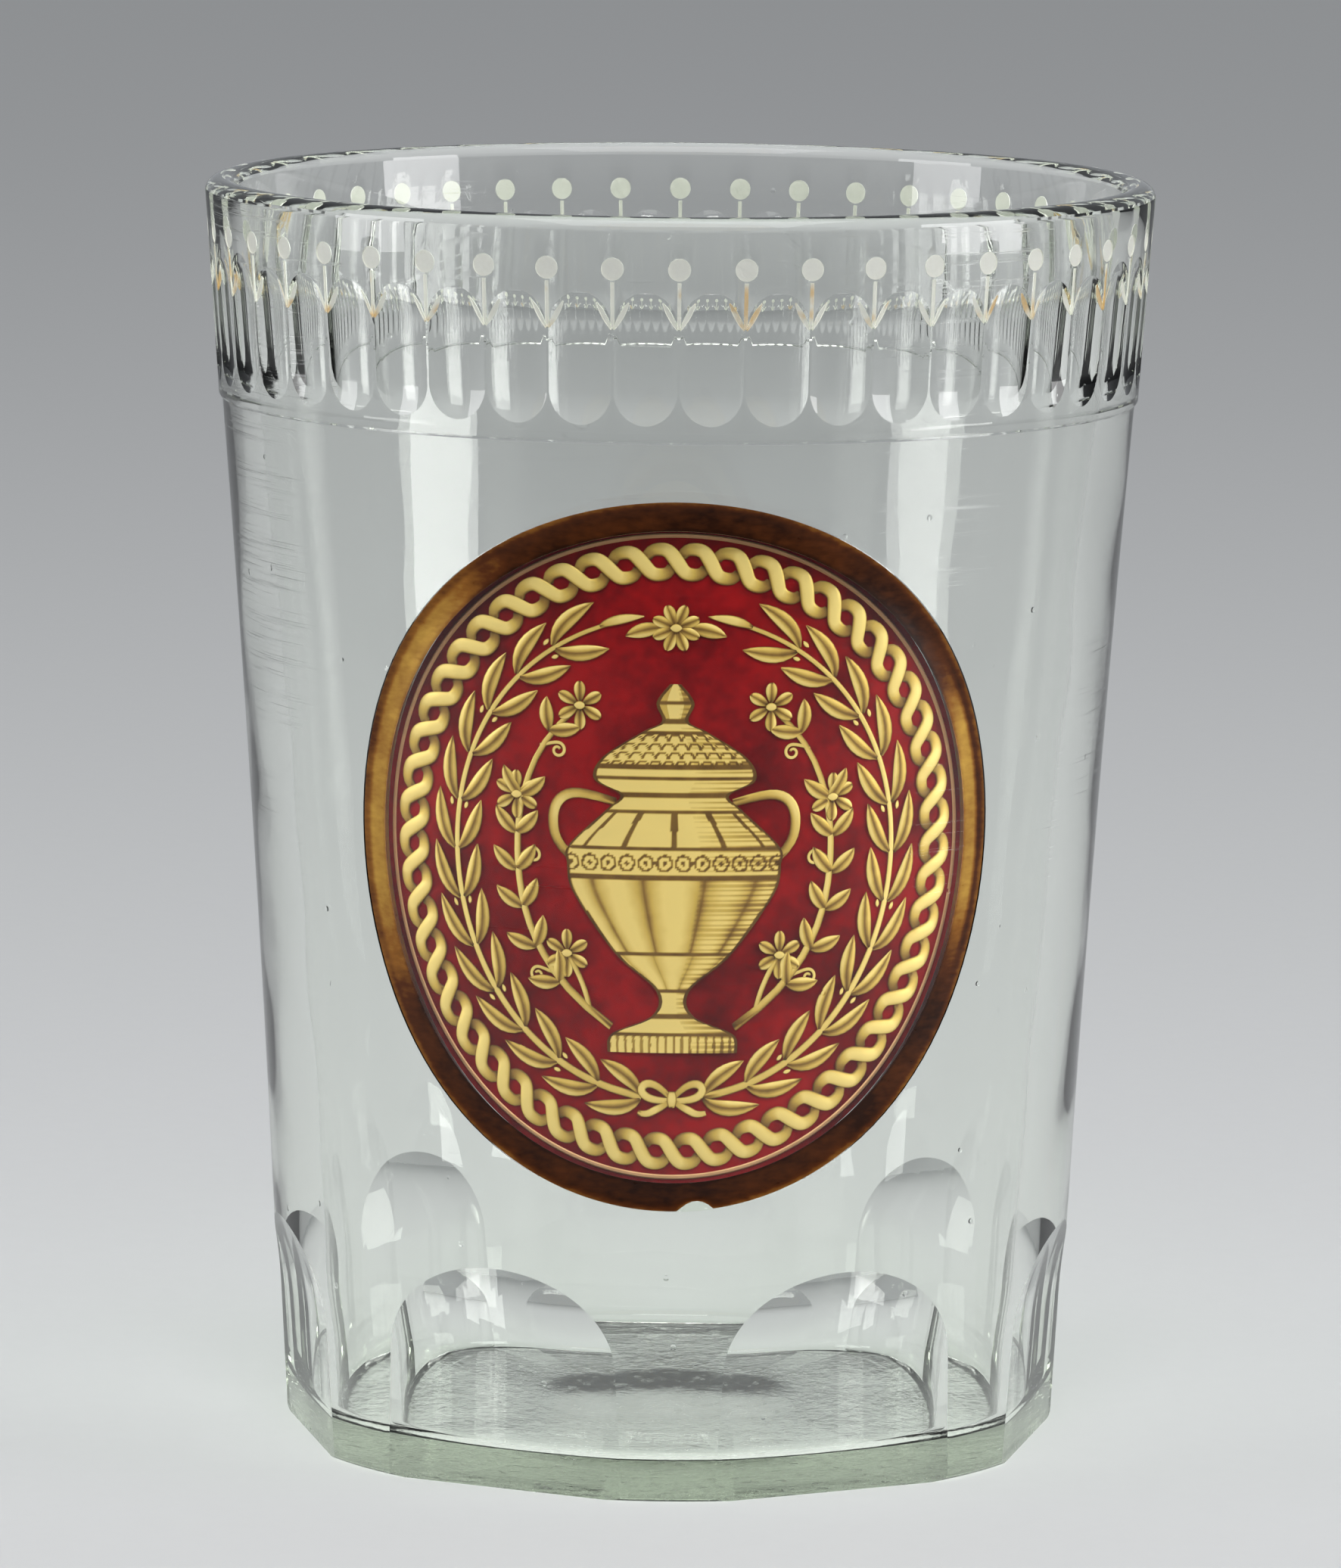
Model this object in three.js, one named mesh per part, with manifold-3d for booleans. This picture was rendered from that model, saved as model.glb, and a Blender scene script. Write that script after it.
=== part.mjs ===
// A cut-glass beaker with a medallion let into its side: gold leaf and crimson lacquer lie under an oval
// plaque of glass that is cemented, flush, into a recess ground in the wall.
// Millimetres, +Z up. The origin is the centre of the underside, and the medallion faces -Y.

import * as THREE from 'three';
import { mergeVertices } from 'three/addons/utils/BufferGeometryUtils.js';
import Module from 'manifold-3d';

const wasm = await Module();
wasm.setup();

// Outside of the beaker
const HEIGHT = 115;
const FOOT_RADIUS = 35.6;
const RIM_RADIUS = 43.2;
const SIDE_BOW = 0.7; // the side bows in this far from a straight taper
const FOOT_EDGE = 0.6; // rounding of the edge that the beaker stands on
const LIP_RISE = 1.3; // height of the rounded lip

// Inside of the beaker
const FOOT_WALL = 5;
const RIM_WALL = 2.9;
const FLOOR_THICKNESS = 3.1;
const FLOOR_FILLET = 1.4;

// Polished hollow in the underside, where the blowing iron was cracked off
const HOLLOW_RADIUS = 11;
const HOLLOW_DEPTH = 0.7;

// Collar below the lip, with hollow-cut flutes
const COLLAR_HEIGHT = 19.9;
const COLLAR_STEP = 0.3; // the collar's lower edge stands this far proud of the plain wall
const COLLAR_BEVEL = 0.45; // height of the sloped edge that leads out to it
const FLUTE_COUNT = 46;
const FLUTE_RISE = 1.1; // from the collar's lower edge to the flutes
const FLUTE_LENGTH = 11.6;
const FLUTE_DEPTH = 0.5;
const FLUTE_LAND = 0.25; // plain glass left between two flutes

// Arch-topped facets round the foot, with one plain strip under the medallion
const ARCH_COUNT = 7;
const ARCH_HALF_ANGLE = THREE.MathUtils.degToRad(18);
const ARCH_SPRING = 12; // height where the upright sides end and the arch begins
const ARCH_TAPER = 0.25; // the facets are ground this much deeper at the foot than at the spring
const ARCH_PEAK = 20.5;

// Medallion, measured along the wall and upwards
const MEDALLION_WIDTH = 61.3;
const MEDALLION_TOP_MARGIN = 5; // plain wall left above it, up to the collar
const MEDALLION_FOOT_MARGIN = 6; // plain wall left below it, down to the arches
const CEMENT_WIDTH = 2.6; // ring of cement seen between the plaque and the edge of the recess
const CEMENT_SINK = 0.12; // the cement lies this far below the surface
const RECESS_BEVEL = 1.3; // the side of the recess slopes in by this much
const PLAQUE_BEVEL = 0.4; // the edge of the plaque slopes out by this much
const PLAQUE_THICKNESS = 1.3;
const LEAF_THICKNESS = 0.12;
const LACQUER_THICKNESS = 0.14;
const LAYER_GAP = 0.12; // between the plaque, the leaf, the lacquer, the backing and the recess
const SIDE_GAP = 0.15; // between the cement and the glass on each side of it

// Bands of the leaf, from the plaque's edge inwards
const LINE_GAP = 0.15; // from the plaque's edge to the line
const LINE_WIDTH = 0.6;
const CHAIN_GAP = 0.25; // from the line to the chain
const CHAIN_WIDTH = 3.5;
const CHAIN_PITCH = 3; // length of one link
const LAUREL_GAP = 0.75; // from the chain to the laurels
const LAUREL_WIDTH = 4.4;
const LAUREL_STEM = 0.5;
const LAUREL_LEAVES = 13; // pairs on each branch
const LAUREL_START = THREE.MathUtils.degToRad(8); // angle from straight down where a branch begins
const LAUREL_END = THREE.MathUtils.degToRad(160);
const URN_WIDTH = 0.53; // share of the field inside the laurels
const URN_FOOT_GAP = 2; // from the laurels' inner edge up to the urn's foot
const URN_LID_GAP = 4; // and down to the knob of its lid
const URN_HANDLE_WIDTH = 0.75;

// Flowering sprays at the urn's sides, in shares of half the width and height of the field
const SPRAY_STEM = [
  [0.31, -0.78], [0.5, -0.66], [0.69, -0.45], [0.78, -0.19], [0.795, 0.08], [0.745, 0.35], [0.615, 0.57], [0.46, 0.69],
];
const SPRAY_STALK = [[0.42, -0.71], [0.45, -0.58], [0.535, -0.45]]; // carries the lowest flower
const SPRAY_STEM_WIDTH = 0.04;
const SPRAY_FLOWERS = [[0.535, -0.45], [0.785, 0.27], [0.46, 0.69]];
const SPRAY_LEAVES = [0.2, 0.3, 0.4, 0.49, 0.58, 0.67, 0.86]; // places of the pairs along the stem
const SPRAY_LEAF_LENGTH = 0.16;
const SPRAY_LEAF_WIDTH = 0.075;
const FLOWER_RADIUS = 0.115;
const TOP_FLOWER_DROP = 1.2; // from the line of the laurels' stems down to the flower between their tips
const TOP_LEAF_LENGTH = 0.17;

// Fineness of the facets: whole flutes share the segments of the revolved body
const BODY_SEGMENTS = FLUTE_COUNT * 2;
const WALL_ROWS = 3;
const FLUTE_STEPS = 4;
const LIP_STEPS = 4;
const FILLET_STEPS = 2;
const FLOWER_STEPS = 8;
const STEM_STEPS = 12;
const OVAL_COLUMNS = 20; // even, so that a ring and a plate have their corners in the same places
const OVAL_ROWS = 4;
const RING_STEPS = 2 * OVAL_COLUMNS;
const URN_ROWS = 15;
const URN_COLUMNS = 6;

// Heights that follow from the sizes above
const collarBottom = HEIGHT - COLLAR_HEIGHT;
const fluteBottom = collarBottom + FLUTE_RISE;
const fluteTop = fluteBottom + FLUTE_LENGTH;
const medallionTop = collarBottom - MEDALLION_TOP_MARGIN;
const medallionFoot = ARCH_PEAK + MEDALLION_FOOT_MARGIN;
const medallionHeight = medallionTop - medallionFoot;
const medallionCentre = (medallionTop + medallionFoot) / 2;

// Insets of the leaf's bands from the edge of the recess
const lineOuter = CEMENT_WIDTH + LINE_GAP;
const lineInner = lineOuter + LINE_WIDTH;
const chainMiddle = lineInner + CHAIN_GAP + CHAIN_WIDTH / 2;
const laurelMiddle = chainMiddle + CHAIN_WIDTH / 2 + LAUREL_GAP + LAUREL_WIDTH / 2;
const laurelInner = laurelMiddle + LAUREL_WIDTH / 2;
const fieldWidth = MEDALLION_WIDTH / 2 - laurelInner;
const fieldHeight = medallionHeight / 2 - laurelInner;

// Depths below the wall's surface, from the plaque inwards
const leafFront = PLAQUE_THICKNESS + LAYER_GAP;
const leafBack = leafFront + LEAF_THICKNESS;
const lacquerFront = leafBack + LAYER_GAP;
const lacquerBack = lacquerFront + LACQUER_THICKNESS;
const backingFront = lacquerBack + LAYER_GAP;
const backingBack = backingFront + LEAF_THICKNESS;
const recessDepth = backingBack + LAYER_GAP;

const lerp = THREE.MathUtils.lerp;

/** Radius of the plain wall's outside at a height. */
function sideRadius(z) {
  const t = z / HEIGHT;
  return lerp(FOOT_RADIUS, RIM_RADIUS, t) - 4 * SIDE_BOW * t * (1 - t);
}

/** Radius of the outside at a height, with the collar but without the cuts. */
function outerRadius(z) {
  const above = THREE.MathUtils.clamp((z - collarBottom) / COLLAR_BEVEL, 0, 1);
  const toLip = THREE.MathUtils.clamp((HEIGHT - z) / COLLAR_HEIGHT, 0, 1);
  return sideRadius(z) + COLLAR_STEP * above * toLip;
}

/** Radius of the inside at a height above the floor. */
function innerRadius(z) {
  return sideRadius(z) - lerp(FOOT_WALL, RIM_WALL, z / HEIGHT);
}

/** Merges a geometry's vertices, leaving only their positions. */
function merged(geometry) {
  geometry.deleteAttribute('normal');
  geometry.deleteAttribute('uv');
  return mergeVertices(geometry, 1e-5);
}

/** Turns a closed geometry into a solid for cutting. */
function toSolid(geometry) {
  const closed = merged(geometry);
  return new wasm.Manifold(new wasm.Mesh({
    numProp: 3,
    vertProperties: new Float32Array(closed.attributes.position.array),
    triVerts: new Uint32Array(closed.index.array),
  }));
}

/** Turns a cut solid back into a geometry. */
function toGeometry(solid) {
  const mesh = solid.getMesh();
  const geometry = new THREE.BufferGeometry();
  geometry.setAttribute('position', new THREE.BufferAttribute(new Float32Array(mesh.vertProperties), 3));
  geometry.setIndex(new THREE.BufferAttribute(new Uint32Array(mesh.triVerts), 1));
  geometry.computeVertexNormals();
  return geometry;
}

/**
 * A closed sheet between two surfaces. Points are flat positions, faces are lists of point numbers that turn
 * anticlockwise seen from the front, and front and back carry a point to its place on each surface. Every
 * edge that only one face has gets a wall.
 */
function sheet(points, faces, front, back) {
  const positions = [...points.map(front), ...points.map(back)].flatMap((p) => p.toArray());
  const behind = points.length;
  const triangles = [];
  const edges = new Map();
  for (const face of faces) {
    for (let k = 1; k < face.length - 1; k++) {
      triangles.push([face[0], face[k], face[k + 1]]);
      triangles.push([face[0] + behind, face[k + 1] + behind, face[k] + behind]);
    }
    face.forEach((from, k) => edges.set(`${from},${face[(k + 1) % face.length]}`, true));
  }
  for (const key of edges.keys()) {
    const [from, to] = key.split(',').map(Number);
    if (edges.has(`${to},${from}`)) continue;
    triangles.push([from, from + behind, to + behind], [from, to + behind, to]);
  }
  const geometry = new THREE.BufferGeometry();
  geometry.setAttribute('position', new THREE.Float32BufferAttribute(positions, 3));
  geometry.setIndex(triangles.flat());
  const closed = mergeVertices(geometry, 1e-5);
  const corners = [...closed.index.array];
  const kept = [];
  for (let k = 0; k < corners.length; k += 3) {
    const [a, b, c] = corners.slice(k, k + 3);
    if (a !== b && b !== c && a !== c) kept.push(a, b, c);
  }
  closed.setIndex(kept);
  closed.computeVertexNormals();
  return closed;
}

/** A place on the wall, from the arc length and height from the medallion's centre and a depth inwards. */
function onWall(arc, rise, depth) {
  const z = medallionCentre + rise;
  const radius = sideRadius(z) - depth;
  const angle = arc / sideRadius(medallionCentre);
  return new THREE.Vector3(radius * Math.sin(angle), -radius * Math.cos(angle), z);
}

/** A point of the medallion's oval, set in from the edge of the recess; the turn starts straight down. */
function ovalPoint(turn, inset) {
  const width = MEDALLION_WIDTH / 2 - inset;
  const height = medallionHeight / 2 - inset;
  return [width * Math.sin(turn), -height * Math.cos(turn)];
}

/** An oval plate that follows the wall. Each side has its inset from the recess's edge and its depth. */
function ovalPlate(front, back) {
  const points = [];
  const faces = [];
  for (let i = 0; i <= OVAL_COLUMNS; i++) {
    for (let j = 0; j <= OVAL_ROWS; j++) points.push([(Math.PI * i) / OVAL_COLUMNS, (2 * j) / OVAL_ROWS - 1]);
  }
  for (let i = 0; i < OVAL_COLUMNS; i++) {
    for (let j = 0; j < OVAL_ROWS; j++) {
      const k = i * (OVAL_ROWS + 1) + j;
      faces.push([k, k + OVAL_ROWS + 1, k + OVAL_ROWS + 2, k + 1]);
    }
  }
  const side = ({ inset, depth }) => ([turn, share]) => {
    const halfWidth = MEDALLION_WIDTH / 2 - inset;
    const halfHeight = (medallionHeight / 2 - inset) * Math.sin(turn);
    return onWall(-halfWidth * Math.cos(turn), halfHeight * share, depth);
  };
  return sheet(points, faces, side(front), side(back));
}

/** An oval ring that follows the wall, with an outer and an inner inset at each depth. */
function ovalRing(front, back) {
  const points = [];
  const faces = [];
  for (let i = 0; i < RING_STEPS; i++) {
    const turn = (2 * Math.PI * i) / RING_STEPS;
    points.push([turn, 'outer'], [turn, 'inner']);
    const next = (i + 1) % RING_STEPS;
    faces.push([2 * i, 2 * next, 2 * next + 1, 2 * i + 1]);
  }
  const side = (face) => ([turn, edge]) => onWall(...ovalPoint(turn, face[edge]), face.depth);
  return sheet(points, faces, side(front), side(back));
}

/** The whole numbers that follow one another from a first one. */
function numbersFrom(first, count) {
  return Array.from({ length: count }, (_, k) => first + k);
}

/** Gold leaf cut to a flat pattern of [arc, rise] points, in its place behind the plaque. */
function leaf(points, faces) {
  return sheet(points, faces, (p) => onWall(...p, leafFront), (p) => onWall(...p, leafBack));
}

/** Inset of the recess's sloping side at a depth. */
function recessSide(depth) {
  return (RECESS_BEVEL * depth) / recessDepth;
}

/** Inset of the plaque's sloping edge at a depth. */
function plaqueEdge(depth) {
  return CEMENT_WIDTH - (PLAQUE_BEVEL * depth) / PLAQUE_THICKNESS;
}

/** The beaker as it is blown and turned, before any cutting. */
function blownBody() {
  const profile = [];
  const add = (radius, z) => profile.push(new THREE.Vector2(radius, z));
  add(0, HOLLOW_DEPTH);
  add(HOLLOW_RADIUS / 2, HOLLOW_DEPTH * 0.75);
  add(HOLLOW_RADIUS, 0);
  add(FOOT_RADIUS - FOOT_EDGE, 0);
  add(sideRadius(0) - FOOT_EDGE / 4, FOOT_EDGE / 4);
  for (let i = 0; i <= WALL_ROWS; i++) {
    const z = lerp(FOOT_EDGE, collarBottom, i / WALL_ROWS);
    add(sideRadius(z), z);
  }
  const collarFoot = collarBottom + COLLAR_BEVEL;
  add(outerRadius(collarFoot), collarFoot);
  const lipBase = HEIGHT - LIP_RISE;
  const lipOut = outerRadius(lipBase);
  const lipIn = innerRadius(lipBase);
  for (let i = 0; i <= LIP_STEPS; i++) {
    const turn = (Math.PI * i) / LIP_STEPS;
    add(lerp(lipOut, lipIn, (1 - Math.cos(turn)) / 2), lipBase + LIP_RISE * Math.sin(turn));
  }
  const filletTop = FLOOR_THICKNESS + FLOOR_FILLET;
  for (let i = 1; i <= WALL_ROWS; i++) {
    const z = lerp(lipBase, filletTop, i / WALL_ROWS);
    add(innerRadius(z), z);
  }
  const cornerRadius = innerRadius(filletTop);
  for (let i = 1; i <= FILLET_STEPS; i++) {
    const turn = (Math.PI / 2) * (i / FILLET_STEPS);
    add(cornerRadius - FLOOR_FILLET * (1 - Math.cos(turn)), filletTop - FLOOR_FILLET * Math.sin(turn));
  }
  add(0, FLOOR_THICKNESS);
  const turned = new THREE.LatheGeometry(profile, BODY_SEGMENTS);
  turned.rotateX(Math.PI / 2);
  return toSolid(turned);
}

/** The grinding wheel's path for one flute: a lying round-ended rod, leaning with the collar. */
function fluteCutter() {
  const middle = (fluteBottom + fluteTop) / 2;
  const radius = outerRadius(middle);
  const width = (2 * Math.PI * radius) / FLUTE_COUNT - FLUTE_LAND;
  const hollow = 1 / ((8 * FLUTE_DEPTH) / width ** 2 - 1 / radius);
  const segments = Math.round((2 * Math.PI * hollow * FLUTE_STEPS) / width);
  const reach = Math.sqrt(hollow ** 2 - (hollow - FLUTE_DEPTH) ** 2);
  const straight = fluteTop - fluteBottom - 2 * reach;
  const rod = new THREE.CapsuleGeometry(hollow, straight, Math.ceil(segments / 6), segments);
  const lean = Math.atan2(outerRadius(fluteTop) - outerRadius(fluteBottom), fluteTop - fluteBottom);
  rod.rotateX(Math.PI / 2);
  rod.rotateX(lean);
  rod.translate(0, -(radius + hollow - FLUTE_DEPTH), middle);
  return toSolid(rod);
}

/** One facet round the foot: upright and flat, then curving out of the wall in an arch. */
function archCutter() {
  const depthShare = Math.cos(ARCH_HALF_ANGLE);
  const foot = outerRadius(0) * depthShare - ARCH_TAPER;
  const spring = outerRadius(ARCH_SPRING) * depthShare;
  const slope = (spring - foot) / ARCH_SPRING;
  const clear = outerRadius(ARCH_PEAK) + 5;
  const middle = (ARCH_SPRING + ARCH_PEAK) / 2;
  const below = -2;
  const section = new THREE.Shape();
  section.moveTo(foot + slope * below, below);
  section.lineTo(clear, below);
  section.lineTo(clear, ARCH_PEAK + (clear - outerRadius(ARCH_PEAK)) / 2);
  section.lineTo(outerRadius(ARCH_PEAK), ARCH_PEAK);
  section.quadraticCurveTo(spring + slope * (middle - ARCH_SPRING), middle, spring, ARCH_SPRING);
  section.closePath();
  const reach = 2 * clear * Math.sin(ARCH_HALF_ANGLE) + 4;
  const block = new THREE.ExtrudeGeometry(section, { depth: reach, bevelEnabled: false, curveSegments: 6 });
  block.translate(0, 0, -reach / 2);
  block.rotateX(Math.PI / 2);
  block.rotateZ(-Math.PI / 2);
  return toSolid(block);
}

/** The recess ground for the medallion: its sloping side runs on past the surface. */
function recessCutter() {
  const proud = -1;
  return toSolid(ovalPlate(
    { inset: recessSide(proud), depth: proud },
    { inset: recessSide(recessDepth), depth: recessDepth },
  ));
}

function glassBody() {
  let body = blownBody();
  const flute = fluteCutter();
  for (let i = 0; i < FLUTE_COUNT; i++) {
    body = body.subtract(flute.rotate([0, 0, (360 * (i + 0.5)) / FLUTE_COUNT]));
  }
  const arch = archCutter();
  for (let i = 0; i < ARCH_COUNT; i++) {
    body = body.subtract(arch.rotate([0, 0, (360 * (i + 0.5)) / ARCH_COUNT]));
  }
  return toGeometry(body.subtract(recessCutter()));
}

function cementRing() {
  const at = (depth) => ({
    outer: recessSide(depth) + SIDE_GAP,
    inner: plaqueEdge(depth) - SIDE_GAP,
    depth,
  });
  return ovalRing(at(CEMENT_SINK), at(backingBack));
}

function medallionGlass() {
  const at = (depth) => ({ inset: plaqueEdge(depth), depth });
  return ovalPlate(at(0), at(PLAQUE_THICKNESS));
}

function layer(front, back) {
  return ovalPlate({ inset: lineOuter, depth: front }, { inset: lineOuter, depth: back });
}

function edgeLine() {
  const at = (depth) => ({ outer: lineOuter, inner: lineInner, depth });
  return ovalRing(at(leafFront), at(leafBack));
}

/** A twisted border of links, each a rounded lobe outside and inside with an eye between them. */
function chainBorder() {
  const points = [];
  const faces = [];
  const length = Math.PI * ((MEDALLION_WIDTH + medallionHeight) / 2 - 2 * chainMiddle);
  const links = Math.round(length / CHAIN_PITCH);
  const place = (along, across) => {
    points.push(ovalPoint((2 * Math.PI * along) / links, chainMiddle - (across * CHAIN_WIDTH) / 2));
  };
  for (let i = 0; i < links; i++) {
    place(i, 0.6);
    place(i + 0.42, 1);
    place(i, -0.6);
    place(i + 0.58, -1);
    place(i + 0.26, 0);
    place(i + 0.58, 0.32);
    place(i + 0.74, 0);
    place(i + 0.42, -0.32);
    const [notchOut, lobeOut, notchIn, lobeIn, eyeStart, eyeOut, eyeEnd, eyeIn] = numbersFrom(8 * i, 8);
    const [nextOut, , nextIn, , nextEye] = numbersFrom(8 * ((i + 1) % links), 5);
    faces.push(
      [notchOut, lobeOut, eyeOut, eyeStart],
      [lobeOut, nextOut, eyeEnd, eyeOut],
      [notchIn, eyeStart, eyeIn, lobeIn],
      [lobeIn, eyeIn, eyeEnd, nextIn],
      [nextOut, nextEye, nextIn, eyeEnd],
    );
  }
  return leaf(points, faces);
}

/** A laurel branch that rises round one side of the medallion, its leaves in pairs along the stem. */
function laurel(side) {
  const points = [];
  const faces = [];
  const stem = LAUREL_STEM / LAUREL_WIDTH;
  const place = (along, across) => {
    const turn = lerp(LAUREL_START, LAUREL_END, along / LAUREL_LEAVES);
    const [arc, rise] = ovalPoint(turn, laurelMiddle - (across * LAUREL_WIDTH) / 2);
    points.push([side * arc, rise]);
  };
  for (let i = 0; i < LAUREL_LEAVES; i++) {
    const [stemOut, stemIn, midOut, midIn, bellyOut, bellyIn, backOut, backIn, tipOut, tipIn] =
      numbersFrom(10 * i, 10);
    const [nextOut, nextIn] = numbersFrom(10 * (i + 1), 2);
    for (const across of [1, -1]) place(i, across * stem);
    for (const across of [1, -1]) place(i + 0.5, across * stem);
    for (const across of [1, -1]) place(i + 0.3, across * 0.75);
    for (const across of [1, -1]) place(i + 0.8, across * 0.42);
    for (const across of [1, -1]) place(i + 1.1, across);
    faces.push(
      [stemOut, midOut, midIn, stemIn],
      [midOut, nextOut, nextIn, midIn],
      [stemOut, bellyOut, backOut, midOut],
      [bellyOut, tipOut, backOut],
      [stemIn, midIn, backIn, bellyIn],
      [bellyIn, backIn, tipIn],
    );
  }
  for (const across of [1, -1]) place(LAUREL_LEAVES, across * stem);
  place(LAUREL_LEAVES + 0.8, 0);
  const [endOut, endIn, endTip] = numbersFrom(10 * LAUREL_LEAVES, 3);
  faces.push([endOut, endTip, endIn]);
  return leaf(points, side < 0 ? faces.map((face) => face.toReversed()) : faces);
}

/**
 * A lidded urn with two handles. Its profile and the line of a handle are half-widths and heights, as shares of
 * its own. A handle springs from the neck's edge and ends on the body's edge.
 */
function urn() {
  const foot = URN_FOOT_GAP - fieldHeight;
  const lid = fieldHeight - URN_LID_GAP;
  const profile = new THREE.SplineCurve([
    [0.62, 0], [0.58, 0.05], [0.2, 0.1], [0.16, 0.17], [0.55, 0.27], [0.94, 0.43], [1, 0.51], [0.98, 0.56],
    [0.62, 0.66], [0.5, 0.7], [0.74, 0.74], [0.66, 0.8], [0.3, 0.87], [0.12, 0.9], [0.17, 0.95], [0.05, 1],
  ].map(([width, height]) => new THREE.Vector2(width, height)));
  const [bodyRow, neckRow] = [6, 8]; // a handle's ends lie between these rows and the next
  const handle = [[0.78, 0.7], [0.98, 0.708], [1.12, 0.67], [1.142, 0.613], [1.1, 0.563]];
  const place = (x, y) => [x * URN_WIDTH * fieldWidth, lerp(foot, lid, y)];
  const points = [];
  const faces = [];
  for (const share of profile.getPoints(URN_ROWS)) {
    for (let j = 0; j <= URN_COLUMNS; j++) {
      points.push(place(((2 * j) / URN_COLUMNS - 1) * share.x, share.y));
    }
  }
  for (let i = 0; i < URN_ROWS; i++) {
    for (let j = 0; j < URN_COLUMNS; j++) {
      const k = i * (URN_COLUMNS + 1) + j;
      faces.push([k, k + 1, k + URN_COLUMNS + 2, k + URN_COLUMNS + 1]);
    }
  }
  for (const side of [1, -1]) {
    const edge = (row) => row * (URN_COLUMNS + 1) + (side > 0 ? URN_COLUMNS : 0);
    const line = handle.map(([x, y]) => place(side * x, y));
    const first = points.length;
    line.forEach(([x, y], k) => {
      const turn = heading(line, k);
      const [across, up] = [-Math.sin(turn) * URN_HANDLE_WIDTH / 2, Math.cos(turn) * URN_HANDLE_WIDTH / 2];
      points.push([x + side * across, y + side * up], [x - side * across, y - side * up]);
    });
    const outer = [edge(neckRow + 1), ...line.map((_, k) => first + 2 * k), edge(bodyRow)];
    const inner = [edge(neckRow), ...line.map((_, k) => first + 2 * k + 1), edge(bodyRow + 1)];
    for (let k = 0; k < outer.length - 1; k++) {
      const face = [inner[k], inner[k + 1], outer[k + 1], outer[k]];
      faces.push(side > 0 ? face : face.toReversed());
    }
  }
  return leaf(points, faces);
}

/** The direction of a line of points at one of them. */
function heading(line, k) {
  const [from, to] = [line[Math.max(k - 1, 0)], line[Math.min(k + 1, line.length - 1)]];
  return Math.atan2(to[1] - from[1], to[0] - from[0]);
}

/** Points spread evenly along a smooth curve through a few. */
function smoothed(line, steps) {
  return new THREE.SplineCurve(line.map((p) => new THREE.Vector2(...p))).getPoints(steps).map((p) => p.toArray());
}

/** The outline of a stem of even width. */
function stemOutline(line, width) {
  const edge = (side) => line.map(([x, y], k) => {
    const turn = heading(line, k);
    return [x - (side * width * Math.sin(turn)) / 2, y + (side * width * Math.cos(turn)) / 2];
  });
  return [...edge(-1), ...edge(1).toReversed()];
}

/** The outline of a pointed leaf that grows from a place in a direction. */
function leafOutline([x, y], turn, length, width) {
  const outline = [[-0.05, 0], [0.3, -0.5], [0.65, -0.42], [1, 0], [0.65, 0.42], [0.3, 0.5]];
  return outline.map(([along, across]) => [
    x + along * length * Math.cos(turn) - across * width * Math.sin(turn),
    y + along * length * Math.sin(turn) + across * width * Math.cos(turn),
  ]);
}

/** The outline of a round flower. */
function flowerOutline([x, y], radius) {
  return numbersFrom(0, FLOWER_STEPS).map((k) => {
    const turn = (2 * Math.PI * (k + 0.5)) / FLOWER_STEPS;
    return [x + radius * Math.cos(turn), y + radius * Math.sin(turn)];
  });
}

/** Gold leaf in the shape of several outlines laid over one another, in shares of the field. */
function cutLeaf(outlines, side = 1, lift = 0) {
  const shapes = outlines.map((outline) => new wasm.CrossSection([outline], 'NonZero'));
  const polygons = wasm.CrossSection.union(shapes).simplify(0.008).toPolygons();
  const points = polygons.flat().map(([x, y]) => [side * x * fieldWidth, y * fieldHeight + lift]);
  const faces = wasm.triangulate(polygons).map((face) => [...face]);
  return leaf(points, side < 0 ? faces.map((face) => face.toReversed()) : faces);
}

/** A flowering spray that rises on one side of the urn. */
function spray(side) {
  const stem = smoothed(SPRAY_STEM, STEM_STEPS);
  const outlines = [
    stemOutline(stem, SPRAY_STEM_WIDTH),
    stemOutline(SPRAY_STALK, SPRAY_STEM_WIDTH),
    ...SPRAY_FLOWERS.map((centre) => flowerOutline(centre, FLOWER_RADIUS)),
  ];
  for (const place of SPRAY_LEAVES) {
    const k = Math.round(place * STEM_STEPS);
    for (const lean of [0.75, -0.75]) {
      outlines.push(leafOutline(stem[k], heading(stem, k) + lean, SPRAY_LEAF_LENGTH, SPRAY_LEAF_WIDTH));
    }
  }
  return cutLeaf(outlines, side);
}

/** The flower between the laurels' tips, with a leaf on each side. */
function topFlower() {
  const [, rise] = ovalPoint(Math.PI, laurelMiddle + TOP_FLOWER_DROP);
  const outlines = [flowerOutline([0, 0], FLOWER_RADIUS)];
  for (const turn of [-0.25, Math.PI + 0.25]) {
    outlines.push(leafOutline([0.08 * Math.cos(turn), 0], turn, TOP_LEAF_LENGTH, SPRAY_LEAF_WIDTH));
  }
  return cutLeaf(outlines, 1, rise);
}

const material = (color, metalness, roughness) => new THREE.MeshStandardMaterial({ color, metalness, roughness });
const clearGlass = new THREE.MeshStandardMaterial({
  color: 0xdfe6e0, metalness: 0, roughness: 0.05, transparent: true, opacity: 0.35,
});
const gold = material(0xd9b45f, 0.9, 0.35);
const crimson = material(0x96101a, 0, 0.3);
const amber = material(0x7a4a1c, 0.1, 0.4);

const beaker = new THREE.Group();

function piece(name, geometry, finish) {
  const mesh = new THREE.Mesh(geometry, finish);
  mesh.name = name;
  beaker.add(mesh);
}

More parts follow.
